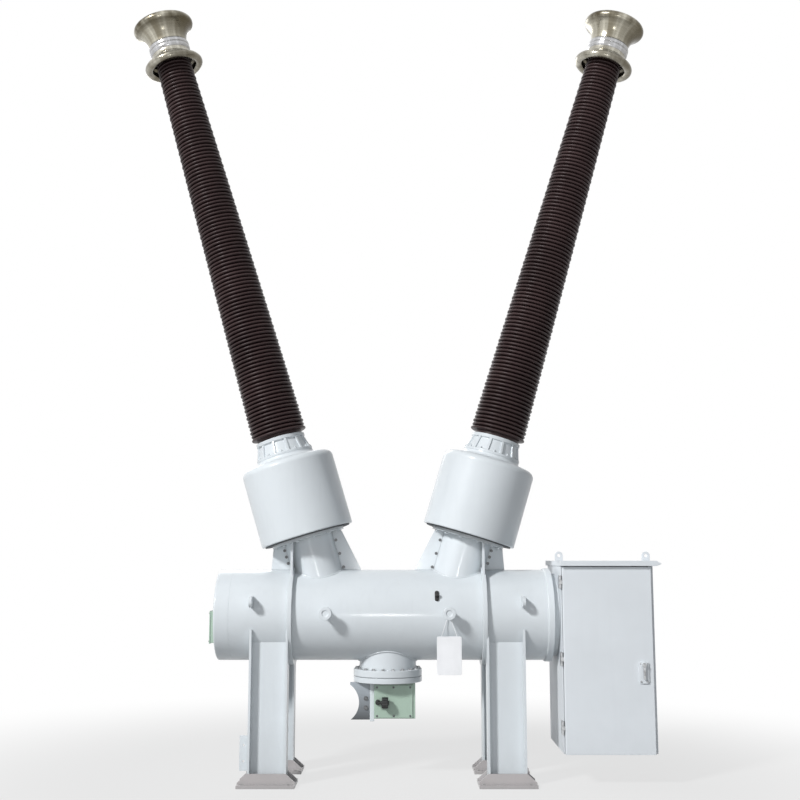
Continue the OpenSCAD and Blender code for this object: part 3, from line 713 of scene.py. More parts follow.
def weld_tree():
    """A rippled bead of weld along a path of edges."""
    tree, given = new_tree("weld_bead", {"Geometry": "Geometry", "Radius": "Float", "Ripple": "Float",
                                         "Material": "Material"})
    path = put(tree, "GeometryNodeMeshToCurve", {0: given["Geometry"]}).outputs[0]
    even = put(tree, "GeometryNodeResampleCurve", {"Curve": path, "Length": given["Ripple"]}, mode="LENGTH")
    index = put(tree, "GeometryNodeInputIndex").outputs[0]
    wave = maths(tree, "SINE", maths(tree, "MULTIPLY", index, 2.1))
    swell = maths(tree, "ADD", maths(tree, "MULTIPLY", wave, 0.14), 1.0)
    sized = put(tree, "GeometryNodeSetCurveRadius", {"Curve": even.outputs[0], "Radius": swell})
    profile = put(tree, "GeometryNodeCurvePrimitiveCircle", {"Resolution": 8, "Radius": given["Radius"]})
    bead = put(tree, "GeometryNodeCurveToMesh",
               {"Curve": sized.outputs[0], "Profile Curve": profile.outputs[0], "Scale": swell})
    return close_tree(tree, bead.outputs[0], given["Material"])


def grow(tree, item, material, place=None, **inputs):
    """The plain mesh that a tree makes from an item, moved to its place."""
    holder = bpy.data.objects.new("holder", item)
    bpy.context.scene.collection.objects.link(holder)
    modifier = holder.modifiers.new("grow", "NODES")
    modifier.node_group = tree
    wanted = {key.replace("_", " ").title(): value for key, value in inputs.items()}
    wanted["Material"] = MATERIALS[material]
    for socket in tree.interface.items_tree:
        if socket.in_out == "INPUT" and socket.name in wanted:
            modifier[socket.identifier] = wanted[socket.name]
    mesh = settle(holder)
    bpy.data.objects.remove(holder)
    if place is not None:
        mesh.transform(place)
    return mesh


# Items and paths for the trees

def bolt_item(radius, tail=0.0):
    """A hexagon head on a washer, standing on Z 0; a tail is a stud's end above the nut."""
    washer_r, washer_t, head_t = radius * 1.28, radius * 0.2, radius * 0.78
    top, chamfer, shank = washer_t + head_t, radius * 0.12, radius * 0.52
    bm = bmesh.new()
    turn_profile(bm, oblong(0, washer_r, 0, washer_t), Matrix(), steps=14)
    turn_profile(bm, [(0, washer_t), (radius, washer_t), (radius, top - chamfer),
                      (radius * 0.86, top), (0, top)], Matrix(), steps=6)
    if tail:
        turn_profile(bm, [(0, top), (shank, top), (shank, top + tail * 0.85),
                          (radius * 0.42, top + tail), (0, top + tail)], Matrix(), steps=10)
    return as_mesh(bm, "bolt_item")


def screw_item(radius):
    """A low round screw head with a sunk socket, standing on Z 0."""
    mouth, floor = (radius * 0.42, radius * 0.66), radius * 0.3
    head = [(0, 0), (radius, 0), (radius, radius * 0.25), (radius * 0.72, radius * 0.6), mouth]
    bm = turning(head, Matrix(), steps=12)
    turn_profile(bm, [mouth, (radius * 0.36, floor), (0, floor)], Matrix(), steps=12)
    bmesh.ops.remove_doubles(bm, verts=bm.verts, dist=1e-6)
    return as_mesh(bm, "screw_item")


def path_mesh(points):
    """A closed path of edges that a weld can follow."""
    mesh = bpy.data.meshes.new("path")
    edges = [(i, (i + 1) % len(points)) for i in range(len(points))]
    mesh.from_pydata([tuple(p) for p in points], edges, [])
    return mesh


def saddle(matrix, radius, steps):
    """Where a pipe along a frame's +Z meets the tank: the foot of its weld."""
    points = []
    axis = matrix.to_3x3() @ Vector((0, 0, 1))
    middle = Vector((0, 0, TANK_Z))
    for i in range(steps):
        angle = 2 * math.pi * i / steps
        start = matrix @ Vector((radius * math.cos(angle), radius * math.sin(angle), 0)) - middle
        a = axis.y ** 2 + axis.z ** 2
        b = 2 * (start.y * axis.y + start.z * axis.z)
        c = start.y ** 2 + start.z ** 2 - TANK_R ** 2
        reach = (-b + math.sqrt(max(0.0, b * b - 4 * a * c))) / (2 * a)
        points.append(start + axis * reach + middle)
    return points


def tank_circle(x, radius, steps):
    """A circle round the tank's axis."""
    angles = [2 * math.pi * i / steps for i in range(steps)]
    return [(x, radius * math.cos(a), TANK_Z + radius * math.sin(a)) for a in angles]


def flare_radius(waist, middle, rim, rise):
    """Radius of the hollow flare that runs from a shield's waist into its rolled rim."""
    out = middle - waist
    return (rise ** 2 + out ** 2 - rim ** 2) / (2 * (rim + out))


# Pieces

class BreakerStep:
    """What every step of the work shares."""
    bl_options = {"REGISTER", "UNDO"}


class BREAKER_OT_finishes(BreakerStep, bpy.types.Operator):
    """Make the materials."""
    bl_idname = "breaker.finishes"
    bl_label = "Finishes"

    def execute(self, context):
        make_materials(context.scene.breaker_colours)
        return {"FINISHED"}


class BREAKER_OT_tank(BreakerStep, bpy.types.Operator):
    """Finish the gas tank, its cover, its flanges and the box on its left end."""
    bl_idname = "breaker.tank"
    bl_label = "Tank"

    def execute(self, context):
        sizes = context.scene.breaker_sizes
        dress("tank_shell", "paint")
        self.cover(sizes)
        self.flanges(sizes)
        softened_piece("end_box_case", "end_junction_box", sizes.plate_edge, "grey_green_paint")
        return {"FINISHED"}

    def cover(self, sizes):
        """A plate with a chamfered seam, a round outer edge and a shallow dish."""
        low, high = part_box("tank_left_cover")
        depth, rim, seam, edge = high.x - low.x, TANK_R - 0.06, 0.001, 0.012
        floor = depth - COVER_DISH
        profile = [(0, 0), (TANK_R - seam, 0), (TANK_R, seam), (TANK_R, depth, edge),
                   (rim + COVER_DISH, depth), (rim, floor), (0, floor)]
        plate = turning(rounded(profile, sizes.turned_edge), looking((high.x, 0, TANK_Z), (-1, 0, 0)),
                        sizes.turning_steps)
        piece("end_cover_plate", plate, "paint", nodes=["tank_left_cover"])

    def flanges(self, sizes):
        """The flange at the tank's right end and the one that carries the cabinet, as rings."""
        nodes, wall, land = ["tank_right_flange", "adapter_flange"], 0.012, 0.032
        bm = bmesh.new()
        for node in nodes:
            low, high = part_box(node)
            radius = (high.z - low.z) / 2
            section = oblong(min(TANK_R - wall, radius - land), radius, 0, high.x - low.x)
            turn_profile(bm, rounded(section, sizes.turned_edge * 0.7, closed=True),
                         looking((low.x, 0, TANK_Z), (1, 0, 0)), sizes.turning_steps, closed=True)
        piece("end_flange_pair", bm, "paint", nodes=nodes)


class BREAKER_OT_columns(BreakerStep, bpy.types.Operator):
    """Round the edges of the columns, feet and gussets, and turn the tank's stiffener rings."""
    bl_idname = "breaker.columns"
    bl_label = "Columns and gussets"

    def execute(self, context):
        sizes = context.scene.breaker_sizes
        for side in SIDES:
            for name, node, finish in (("column_pair", "leg", "paint"),
                                       ("base_plates", "feet", "foot_paint"),
                                       ("gusset_plates", "gussets", "paint")):
                softened_piece(f"{name}_{side}", f"{node}_{side}", sizes.plate_edge, material=finish)
        self.rings(sizes)
        softened_piece("earth_terminal", "earthing_plate", sizes.sheet_edge)
        return {"FINISHED"}

    def rings(self, sizes):
        """Stiffener rings round the tank, with the fillet of paint and weld that thickens them."""
        low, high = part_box("stiffener_rings")
        proud, sink, fillet = 0.008, 0.004, 0.006
        section = oblong(TANK_R - sink, high.y + proud, -fillet, RING_PLATE + fillet)
        outline = rounded(section, sizes.plate_edge, closed=True)
        bm = bmesh.new()
        for x in (low.x, high.x - RING_PLATE):
            turn_profile(bm, outline, looking((x, 0, TANK_Z), (1, 0, 0)), sizes.turning_steps, closed=True)
        piece("tank_rings", bm, "paint", nodes=["stiffener_rings"])


class BREAKER_OT_housings(BreakerStep, bpy.types.Operator):
    """Round the necks, turn the round-shouldered transformer housings and add their gaskets, whose dark grey is
    also painted shade under the housings.
    """
    bl_idname = "breaker.housings"
    bl_label = "Necks and housings"

    def execute(self, context):
        sizes = context.scene.breaker_sizes
        for side in SIDES:
            place = bushing_matrix(side)
            radius, base, _ = turned(f"ct_housing_{side}", place)
            softened_piece(f"neck_{side}", f"turret_{side}", sizes.plate_edge)
            self.housing(side, place, radius, base, sizes)
            self.gasket(side, place, radius, base, sizes)
        return {"FINISHED"}

    def housing(self, side, place, radius, base, sizes):
        """A drum whose shoulder slopes up to a fillet at the collar's foot."""
        seat, foot, _ = turned(f"collar_{side}", place)
        hem, hem_edge, drop, slope, fillet_r, roll = 0.03, 0.008, 0.081, 83, 0.028, sizes.shoulder
        bottom = rounded([(0, base), (radius, base), (radius, base + hem)], hem_edge)
        shoulder = arc((radius - roll, foot - drop), roll, 0, slope, steps=14)
        fillet = arc((seat + fillet_r, foot), fillet_r, 180 + slope, 180, steps=8)
        drum = turning(bottom + shoulder + fillet + [(0, foot)], place, sizes.turning_steps)
        piece(f"transformer_housing_{side}", drum, "paint", nodes=[f"ct_housing_{side}"])

    def gasket(self, side, place, radius, base, sizes):
        """The grey insulating ring below a housing, round the flange of its neck; its dark grey also stands in for
        the shade under the housing, as painted shade.
        """
        grip, inset, thick, lap, edge = 0.004, 0.022, 0.007, 0.001, 0.002
        inner = turned(f"turret_{side}", place)[0] - grip
        outline = rounded(oblong(inner, radius - inset, base - thick, base + lap), edge, closed=True)
        ring = turning(outline, place, sizes.turning_steps, closed=True)
        piece(f"housing_gasket_{side}", ring, "gasket")


class BREAKER_OT_collars(BreakerStep, bpy.types.Operator):
    """Cast collars under the insulators, with their ribs."""
    bl_idname = "breaker.collars"
    bl_label = "Collars"

    def execute(self, context):
        sizes = context.scene.breaker_sizes
        rings = ring_tree()
        for side in SIDES:
            place = bushing_matrix(side)
            foot, base, top = turned(f"collar_{side}", place)
            stand, height, sink = place @ Matrix.Translation((0, 0, base)), top - base, 0.004
            skirt, lip, core = foot - 0.016, foot - 0.026, foot - 0.038
            foot_top, skirt_low, core_top, lip_low = 0.018, 0.019, height - 0.028, height - 0.024
            profile = [(0, 0), (foot, 0), (foot, foot_top), (skirt, skirt_low, 0.006),
                       (core, core_top, 0.008), (lip, lip_low), (lip, height), (0, height)]
            bm = turning(rounded(profile, sizes.turned_edge * 0.8), stand, sizes.turning_steps)
            rib = self.rib(foot - core - sink, lip - core - sink, height)
            bm.from_mesh(grow(rings, rib, "cast_paint", stand, count=12, radius=core,
                              first_angle=math.radians(15)))
            piece(f"cast_collar_{side}", bm, "cast_paint", nodes=[f"collar_{side}"])
        return {"FINISHED"}

    def rib(self, foot, lip, height):
        """One sloping rib that stands between the foot and the lip."""
        root, low, step, top, thick, edge = -0.02, 0.010, 0.020, height - 0.021, 0.018, 0.003
        outline = [(root, low), (foot, low), (foot, step), (lip, top), (root, top)]
        return as_mesh(cut_plate(outline, thick, facing_front(thick / 2), edge), "rib_item")


class BREAKER_OT_insulators(BreakerStep, bpy.types.Operator):
    """Stack the sheds of the two porcelain insulators."""
    bl_idname = "breaker.insulators"
    bl_label = "Insulators"

    def execute(self, context):
        sizes = context.scene.breaker_sizes
        sheds, margin = shed_tree(), sizes.shed_margin
        for side in SIDES:
            place = bushing_matrix(side)
            radius, base, top = turned(f"porcelain_{side}", place)
            rise = top - base - 2 * margin
            pitch = rise / sizes.shed_count
            taper = (radius - sizes.shed_top_radius) / (rise - pitch)
            start = place @ Matrix.Translation((0, 0, base + margin))
            bm = joined([grow(sheds, self.pair(radius, pitch, sizes), "glaze", start,
                              count=sizes.shed_count, pitch=pitch, taper=taper)])
            core = radius - sizes.shed_reach
            top_core = core - taper * rise
            for ends in ([(0, base), (core, base), (core, base + margin)],
                         [(top_core, top - margin), (top_core, top), (0, top)]):
                turn_profile(bm, ends, place, sizes.shed_steps)
            bmesh.ops.remove_doubles(bm, verts=bm.verts, dist=2e-5)
            piece(f"insulator_{side}", bm, "glaze", nodes=[f"porcelain_{side}"], angle=60,
                  weighted=False)
        return {"FINISHED"}

    def pair(self, radius, pitch, sizes):
        """A long and a short shed from core to core, each with a flat underside and a round edge.

        A point of a shed's root is a distance out from the core and a share of the pitch up.
        """
        core, tip, edge_low = radius - sizes.shed_reach, sizes.shed_tip, 0.075
        under, over = ((0, 0), (0.005, 0.02)), ((0.007, 0.46), (0.001, 0.49))
        profile = []
        for reach, start in ((sizes.shed_reach, 0.0), (sizes.short_reach, 0.5 * pitch)):
            profile += [(core + out, start + up * pitch) for out, up in under]
            profile += arc((core + reach - tip, start + edge_low * pitch + tip), tip, -85, 70, steps=4)
            profile += [(core + out, start + up * pitch) for out, up in over]
        return as_mesh(turning(profile + [(core, pitch)], Matrix(), sizes.shed_steps), "shed_item")


class BREAKER_OT_shields(BreakerStep, bpy.types.Operator):
    """Spin the lower shields, the waists and the upper shields."""
    bl_idname = "breaker.shields"
    bl_label = "Shields"

    def execute(self, context):
        sizes = context.scene.breaker_sizes
        bead = 0.008
        for side in SIDES:
            place = bushing_matrix(side)
            waist = turned(f"top_cap_{side}", place)[0] - bead
            self.lower(side, place, waist, sizes)
            self.cap(side, place, waist, sizes)
            self.upper(side, place, waist, sizes)
        return {"FINISHED"}

    def lower(self, side, place, waist, sizes):
        """An open skirt that flares down from the waist and ends in a rolled rim."""
        radius, base, top = turned(f"shield_lower_{side}", place)
        rim, wall, curl, lift, flare_steps, rim_steps = 0.029, 0.005, -150, 0.02, 12, 28
        roll = (radius - rim, base + lift + rim)
        flare = flare_radius(waist, roll[0], rim, top - roll[1])
        hollow = (waist + flare, top)
        meet = math.degrees(math.atan2(top - roll[1], hollow[0] - roll[0]))
        profile = arc(hollow, flare, 180, 180 + meet, flare_steps)
        profile += arc(roll, rim, meet, curl, rim_steps)[1:]
        profile += arc(roll, rim - wall, curl, meet, rim_steps)
        profile += arc(hollow, flare + wall, 180 + meet, 180, flare_steps)[1:]
        skirt = turning(profile, place, sizes.turning_steps, closed=True)
        piece(f"lower_shield_{side}", skirt, f"worn_alloy_{side}",
              nodes=[f"shield_lower_{side}"], angle=50)

    def cap(self, side, place, waist, sizes):
        """The plate on the insulator, its post, the grooved waist and the terminal stud."""
        bead, base, tip = turned(f"top_cap_{side}", place)
        bottom = turned(f"shield_lower_{side}", place)[2]
        top = turned(f"shield_upper_{side}", place)[1]
        stud = mount(f"terminal_{side}")["dims"]["r_mm"] * MM
        plate, plate_t, post, slope = 0.126, 0.015, 0.09, 0.012
        edge, bead_edge, stud_edge = 0.002, 0.008, 0.004
        middle, mouth, groove, groove_half = (bottom + top) / 2, 0.005, bead - 0.005, 0.002
        profile = [(0, base), (plate, base), (plate, base + plate_t), (post, base + plate_t),
                   (post, bottom), (waist, bottom), (bead, bottom + slope, bead_edge),
                   (bead, middle - mouth), (groove, middle - groove_half), (groove, middle + groove_half),
                   (bead, middle + mouth), (bead, top - slope, bead_edge), (waist, top),
                   (stud, top, stud_edge), (stud, tip, stud_edge), (0, tip)]
        cap = turning(rounded(profile, edge), place, sizes.turning_steps)
        piece(f"terminal_cap_{side}", cap, f"bright_alloy_{side}", nodes=[f"top_cap_{side}"])

    def upper(self, side, place, waist, sizes):
        """An open cup that flares up from the waist and ends in a thick round rim."""
        radius, base, top = turned(f"shield_upper_{side}", place)
        rim, wall, bore, floor, flare_steps, rim_steps = 0.03, 0.008, 0.05, 0.01, 12, 30
        roll = (radius - rim, top - rim)
        flare = flare_radius(waist, roll[0], rim, roll[1] - base)
        hollow, lining, reach = (waist + flare, base), flare + wall, flare + rim
        meet = math.degrees(math.atan2(roll[1] - base, hollow[0] - roll[0]))
        lap = math.degrees(math.acos((reach ** 2 + rim ** 2 - lining ** 2) / (2 * reach * rim)))
        seam = math.degrees(math.acos((reach ** 2 + lining ** 2 - rim ** 2) / (2 * reach * lining)))
        profile = [(bore, base)] + arc(hollow, flare, 180, 180 - meet, flare_steps)
        profile += arc(roll, rim, -meet, 360 - meet - lap, rim_steps)[1:]
        profile += arc(hollow, lining, 180 - meet + seam, 175, flare_steps)[1:] + [(bore, base + floor)]
        cup = turning(profile, place, sizes.turning_steps, closed=True)
        piece(f"upper_shield_{side}", cup, f"spun_alloy_{side}",
              nodes=[f"shield_upper_{side}"], angle=50)


class BREAKER_OT_port(BreakerStep, bpy.types.Operator):
    """Finish the bottom port, its gas box, the black knob and the stay."""
    bl_idname = "breaker.port"
    bl_label = "Bottom port"

    def execute(self, context):
        sizes = context.scene.breaker_sizes
        dress("port_neck", "paint")
        self.flanges(sizes)
        self.knob()
        self.stay(sizes)
        softened_piece("gas_box_case", "gas_box", sizes.plate_edge, "grey_green_paint")
        return {"FINISHED"}

    def flanges(self, sizes):
        """Two flanges with a sunk joint between them."""
        low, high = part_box("port_flanges")
        radius, joint, gap, sink = (high.x - low.x) / 2, low.z + 0.039, 0.004, 0.009
        profile = [(0, low.z), (radius, low.z), (radius, joint - gap), (radius - sink, joint - gap),
                   (radius - sink, joint), (radius, joint), (radius, high.z), (0, high.z)]
        pair = turning(rounded(profile, sizes.turned_edge * 0.8), Matrix(), sizes.turning_steps)
        piece("port_flange_pair", pair, "paint", nodes=["port_flanges"])

    def knob(self):
        """A lobed grip on a cross arm, whose stem stands on the gas box."""
        low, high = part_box("gas_knob")
        radius, half, boss, rod, collar = (high.z - low.z) / 2, 0.021, 0.014, 0.009, 0.017
        boss_back, boss_front, collar_foot, collar_top, aside = 0.006, 0.005, 0.014, 0.012, -0.048
        middle = Vector((high.x - half, low.y + radius, (low.z + high.z) / 2))
        arm, stem = middle.x - low.x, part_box("gas_box")[0].y - middle.y
        across, back = looking(middle, (1, 0, 0)), looking(middle, (-1, 0, 0))
        inward = looking(middle + Vector((aside, 0, 0)), (0, 1, 0))
        grip = rounded(oblong(0, radius, -half, half), 0.008)
        hub = rounded(oblong(0, boss, -half - boss_back, half + boss_front), 0.004)
        foot = rounded([(0, 0), (rod, 0), (rod, stem - collar_foot), (collar, stem - collar_top),
                        (collar, stem), (0, stem)], 0.002)
        bm = bmesh.new()
        turn_profile(bm, grip, across, steps=72, lobes=9, lobe_depth=0.09)
        turn_profile(bm, hub, across, steps=32)
        turn_profile(bm, rounded(oblong(0, rod, 0, arm), 0.003), back, steps=24)
        turn_profile(bm, foot, inward, steps=24)
        piece("valve_knob", bm, "dark_plastic", nodes=["gas_knob"])

    def stay(self, sizes):
        """A weathered plate with a round bite, and the pale bar along its edge."""
        low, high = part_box("port_bracket")
        bar, drop, bite, hub_left, hub_up = 0.03, 0.01, 0.14, 0.081, 0.121
        right, bottom = high.x - bar, low.z + drop
        hub = (low.x - hub_left, low.z + hub_up)
        first = math.degrees(math.acos((low.x - hub[0]) / bite))
        last = math.degrees(math.asin((bottom - hub[1]) / bite))
        corners = [(right, bottom), (right, high.z), (low.x, high.z)]
        outline = corners + arc(hub, bite, first, last, steps=18)
        plate = cut_plate(outline, STAY_PLATE, facing_front(high.y), sizes.sheet_edge)
        piece("stay_plate", plate, "stay_paint", nodes=["port_bracket"])
        edge = bmesh.new()
        add_block(edge, (right, low.y, low.z), high)
        bevel_sharp(edge, sizes.plate_edge)
        piece("stay_bar", edge, "paint")


class BREAKER_OT_fittings(BreakerStep, bpy.types.Operator):
    """Finish the trunnions, lifting lugs, filling valve and blank tag on the tank."""
    bl_idname = "breaker.fittings"
    bl_label = "Tank fittings"

    def execute(self, context):
        sizes = context.scene.breaker_sizes
        self.trunnions()
        softened_piece("lug_plates", "lifting_lugs", sizes.plate_edge)
        self.valve()
        self.tag()
        return {"FINISHED"}

    def trunnions(self):
        """Round stubs that start inside the tank's wall and end in a dished cap."""
        cap, height, places = trunnion_layout()
        root, stub, cap_t, edge = 0.27, 0.03, 0.015, 0.003
        dish_mouth, dish_floor, dish = 0.022, 0.018, 0.006
        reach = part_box("trunnions")[1].y - root
        profile = rounded([(0, 0), (stub, 0), (stub, reach - cap_t), (cap, reach - cap_t), (cap, reach),
                           (dish_mouth, reach), (dish_floor, reach - dish), (0, reach - dish)], edge)
        bm = bmesh.new()
        for x in places:
            for face in FACES:
                turn_profile(bm, profile, looking((x, face * root, height), (0, face, 0)), steps=48)
        piece("trunnion_stubs", bm, "paint", nodes=["trunnions"])

    def valve(self):
        """An oval flange with two nuts and a capped nipple, standing square to the tank."""
        low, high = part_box("filling_valve")
        middle = (low + high) / 2
        out = Vector((0, middle.y, middle.z - TANK_Z)).normalized()
        sink, wide, tall, thick, seat, edge = 0.006, 0.014, 0.036, 0.012, 0.011, 0.002
        nipple_r, nipple_top, cap_r, cap_foot, cap_top = 0.011, 0.02, 0.0135, 0.019, 0.035
        nut_r, nut_t, nut_y = 0.006, 0.005, 0.024
        place = looking(Vector((middle.x, 0, TANK_Z)) + out * (TANK_R - sink), out)
        oval = rounded(oblong(-wide, wide, -tall, tall), wide * 0.98, steps=6, closed=True)
        bm = cut_plate(oval, thick, place, edge)
        turn_profile(bm, rounded(oblong(0, nipple_r, seat, nipple_top), 0.002), place, steps=32)
        turn_profile(bm, rounded(oblong(0, cap_r, cap_foot, cap_top), 0.004), place, steps=48, lobes=12,
                     lobe_depth=0.07)
        for y in (-nut_y, nut_y):
            turn_profile(bm, oblong(0, nut_r, 0, nut_t), place @ Matrix.Translation((0, y, seat)), steps=6)
        piece("gas_valve", bm, "dark_plastic", nodes=["filling_valve"])

    def tag(self):
        """A blank sheet that hangs on two thin straps from a loop round the trunnion."""
        low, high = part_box("hanging_tag")
        thick, tall, corner, edge = high.y - low.y, 0.244, 0.012, 0.0008
        loop, loop_r, wire, open_end = 0.035, 0.0325, 0.0024, 330
        strap, tuck, lap, spread_top, spread_low = 0.004, 0.004, 0.012, 0.010, 0.026
        _, _, places = trunnion_layout()
        hang = Vector((places[1], high.z - loop))
        sheet_top, strap_top = low.z + tall, hang.y - loop + tuck
        facing = facing_front(high.y)
        bm = bmesh.new()
        sheet = rounded(oblong(low.x, high.x, low.z, sheet_top), corner, closed=True)
        extrude_outline(bm, sheet, thick * 0.5, facing)
        for top_x, low_x in ((hang.x - spread_top, low.x + spread_low),
                             (hang.x + spread_top, high.x - spread_low)):
            start, end = Vector((top_x, strap_top)), Vector((low_x, sheet_top - lap))
            along = (end - start).normalized()
            aside = Vector((-along.y, along.x)) * strap / 2
            ribbon = [p + s * aside for p, s in ((start, -1), (end, -1), (end, 1), (start, 1))]
            extrude_outline(bm, [tuple(p) for p in ribbon], thick * 0.7, facing)
        place = looking((hang.x, (low.y + high.y) / 2, hang.y), (0, -1, 0))
        turn_profile(bm, arc((loop_r, 0), wire, 0, open_end, steps=11), place, steps=56, closed=True)
        bmesh.ops.recalc_face_normals(bm, faces=bm.faces)
        bevel_sharp(bm, edge, segments=1)
        piece("blank_tag", bm, "tag", nodes=["hanging_tag"])


class BREAKER_OT_cabinet(BreakerStep, bpy.types.Operator):
    """Finish the cabinet's sheets, roof, hinges and door seal."""
    bl_idname = "breaker.cabinet"
    bl_label = "Cabinet"

    def execute(self, context):
        sizes = context.scene.breaker_sizes
        for part in ("left_wall", "right_wall", "back_wall", "floor", "roof"):
            edge = sizes.plate_edge if part == "roof" else sizes.sheet_edge
            softened_piece(f"case_{part}", f"cabinet_{part}", edge, "cabinet_paint")
        softened_piece("hinge_frame_half", "hinge_leaves", sizes.sheet_edge * HINGE_EDGE, "steel")
        self.seal()
        return {"FINISHED"}

    def seal(self):
        """Rubber seal on the front edges of the case, just behind the door."""
        left, front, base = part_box("cabinet_left_wall")[0]
        inset, lip, thick, wide, edge = 0.008, 0.032, 0.0035, 0.012, 0.0015
        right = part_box("cabinet_right_wall")[1].x - lip
        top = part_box("cabinet_roof")[0].z - inset
        left += inset
        base += inset
        bm = bmesh.new()
        for x in (left, right):
            add_block(bm, (x, front - thick, base), (x + wide, front, top))
        add_block(bm, (left + wide, front - thick, base), (right, front, base + wide))
        bevel_sharp(bm, edge)
        piece("door_seal", bm, "rubber")


class BREAKER_OT_door(BreakerStep, bpy.types.Operator):
    """Finish the door, its hinge halves, its lock plate and its handle."""
    bl_idname = "breaker.door"
    bl_label = "Door"

    def execute(self, context):
        sizes = context.scene.breaker_sizes
        softened_piece("door_panel", "cabinet_door", sizes.sheet_edge, "cabinet_paint", body="door")
        softened_piece("hinge_door_half", "door_knuckles", sizes.sheet_edge * HINGE_EDGE, "steel",
                       body="door")
        pivot = Vector(next(j for j in frame["joints"] if j["name"] == "handle_turn")["pos_m"])
        self.lock(pivot)
        self.handle(pivot)
        return {"FINISHED"}

    def lock(self, pivot):
        """A round-cornered plate with a rose round the handle's hub."""
        low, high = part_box("lock_plate")
        corner, edge, rose, rose_lip, rose_side, rose_t = 0.014, 0.0025, 0.0225, 0.019, 0.003, 0.005
        outline = rounded(oblong(low.x, high.x, low.z, high.z), corner, steps=6, closed=True)
        bm = cut_plate(outline, high.y - low.y, facing_front(high.y), edge)
        profile = [(0, 0), (rose, 0), (rose, rose_side), (rose_lip, rose_t), (0, rose_t)]
        turn_profile(bm, rounded(profile, 0.001), looking((pivot.x, low.y, pivot.z), (0, -1, 0)), steps=40)
        piece("lock_case", bm, "cabinet_paint", "door", nodes=["lock_plate"])

    def handle(self, pivot):
        """A round hub and a tapered lever that hangs from it."""
        front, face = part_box("door_handle")[0].y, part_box("lock_plate")[0].y
        reach, hub, neck, gap, neck_top = face - front, 0.014, 0.012, 0.002, 0.007
        root, tip, above, below, tip_edge, edge = 0.0085, 0.006, 0.004, -0.092, 0.008, 0.003
        lever_t, lever_back = 0.012, front + 0.014
        profile = [(0, gap), (neck, gap), (hub, neck_top), (hub, reach), (0, reach)]
        bm = turning(rounded(profile, edge), looking((pivot.x, face, pivot.z), (0, -1, 0)), steps=40)
        outline = rounded([(-root, above), (-tip, below, tip_edge), (tip, below, tip_edge), (root, above)],
                          0.004, steps=5, closed=True)
        place = Matrix.Translation((pivot.x, 0, pivot.z)) @ facing_front(lever_back)
        bm.from_mesh(as_mesh(cut_plate(outline, lever_t, place, edge, segments=3), "lever"))
        piece("lock_handle", bm, "steel", "handle", nodes=["door_handle"])


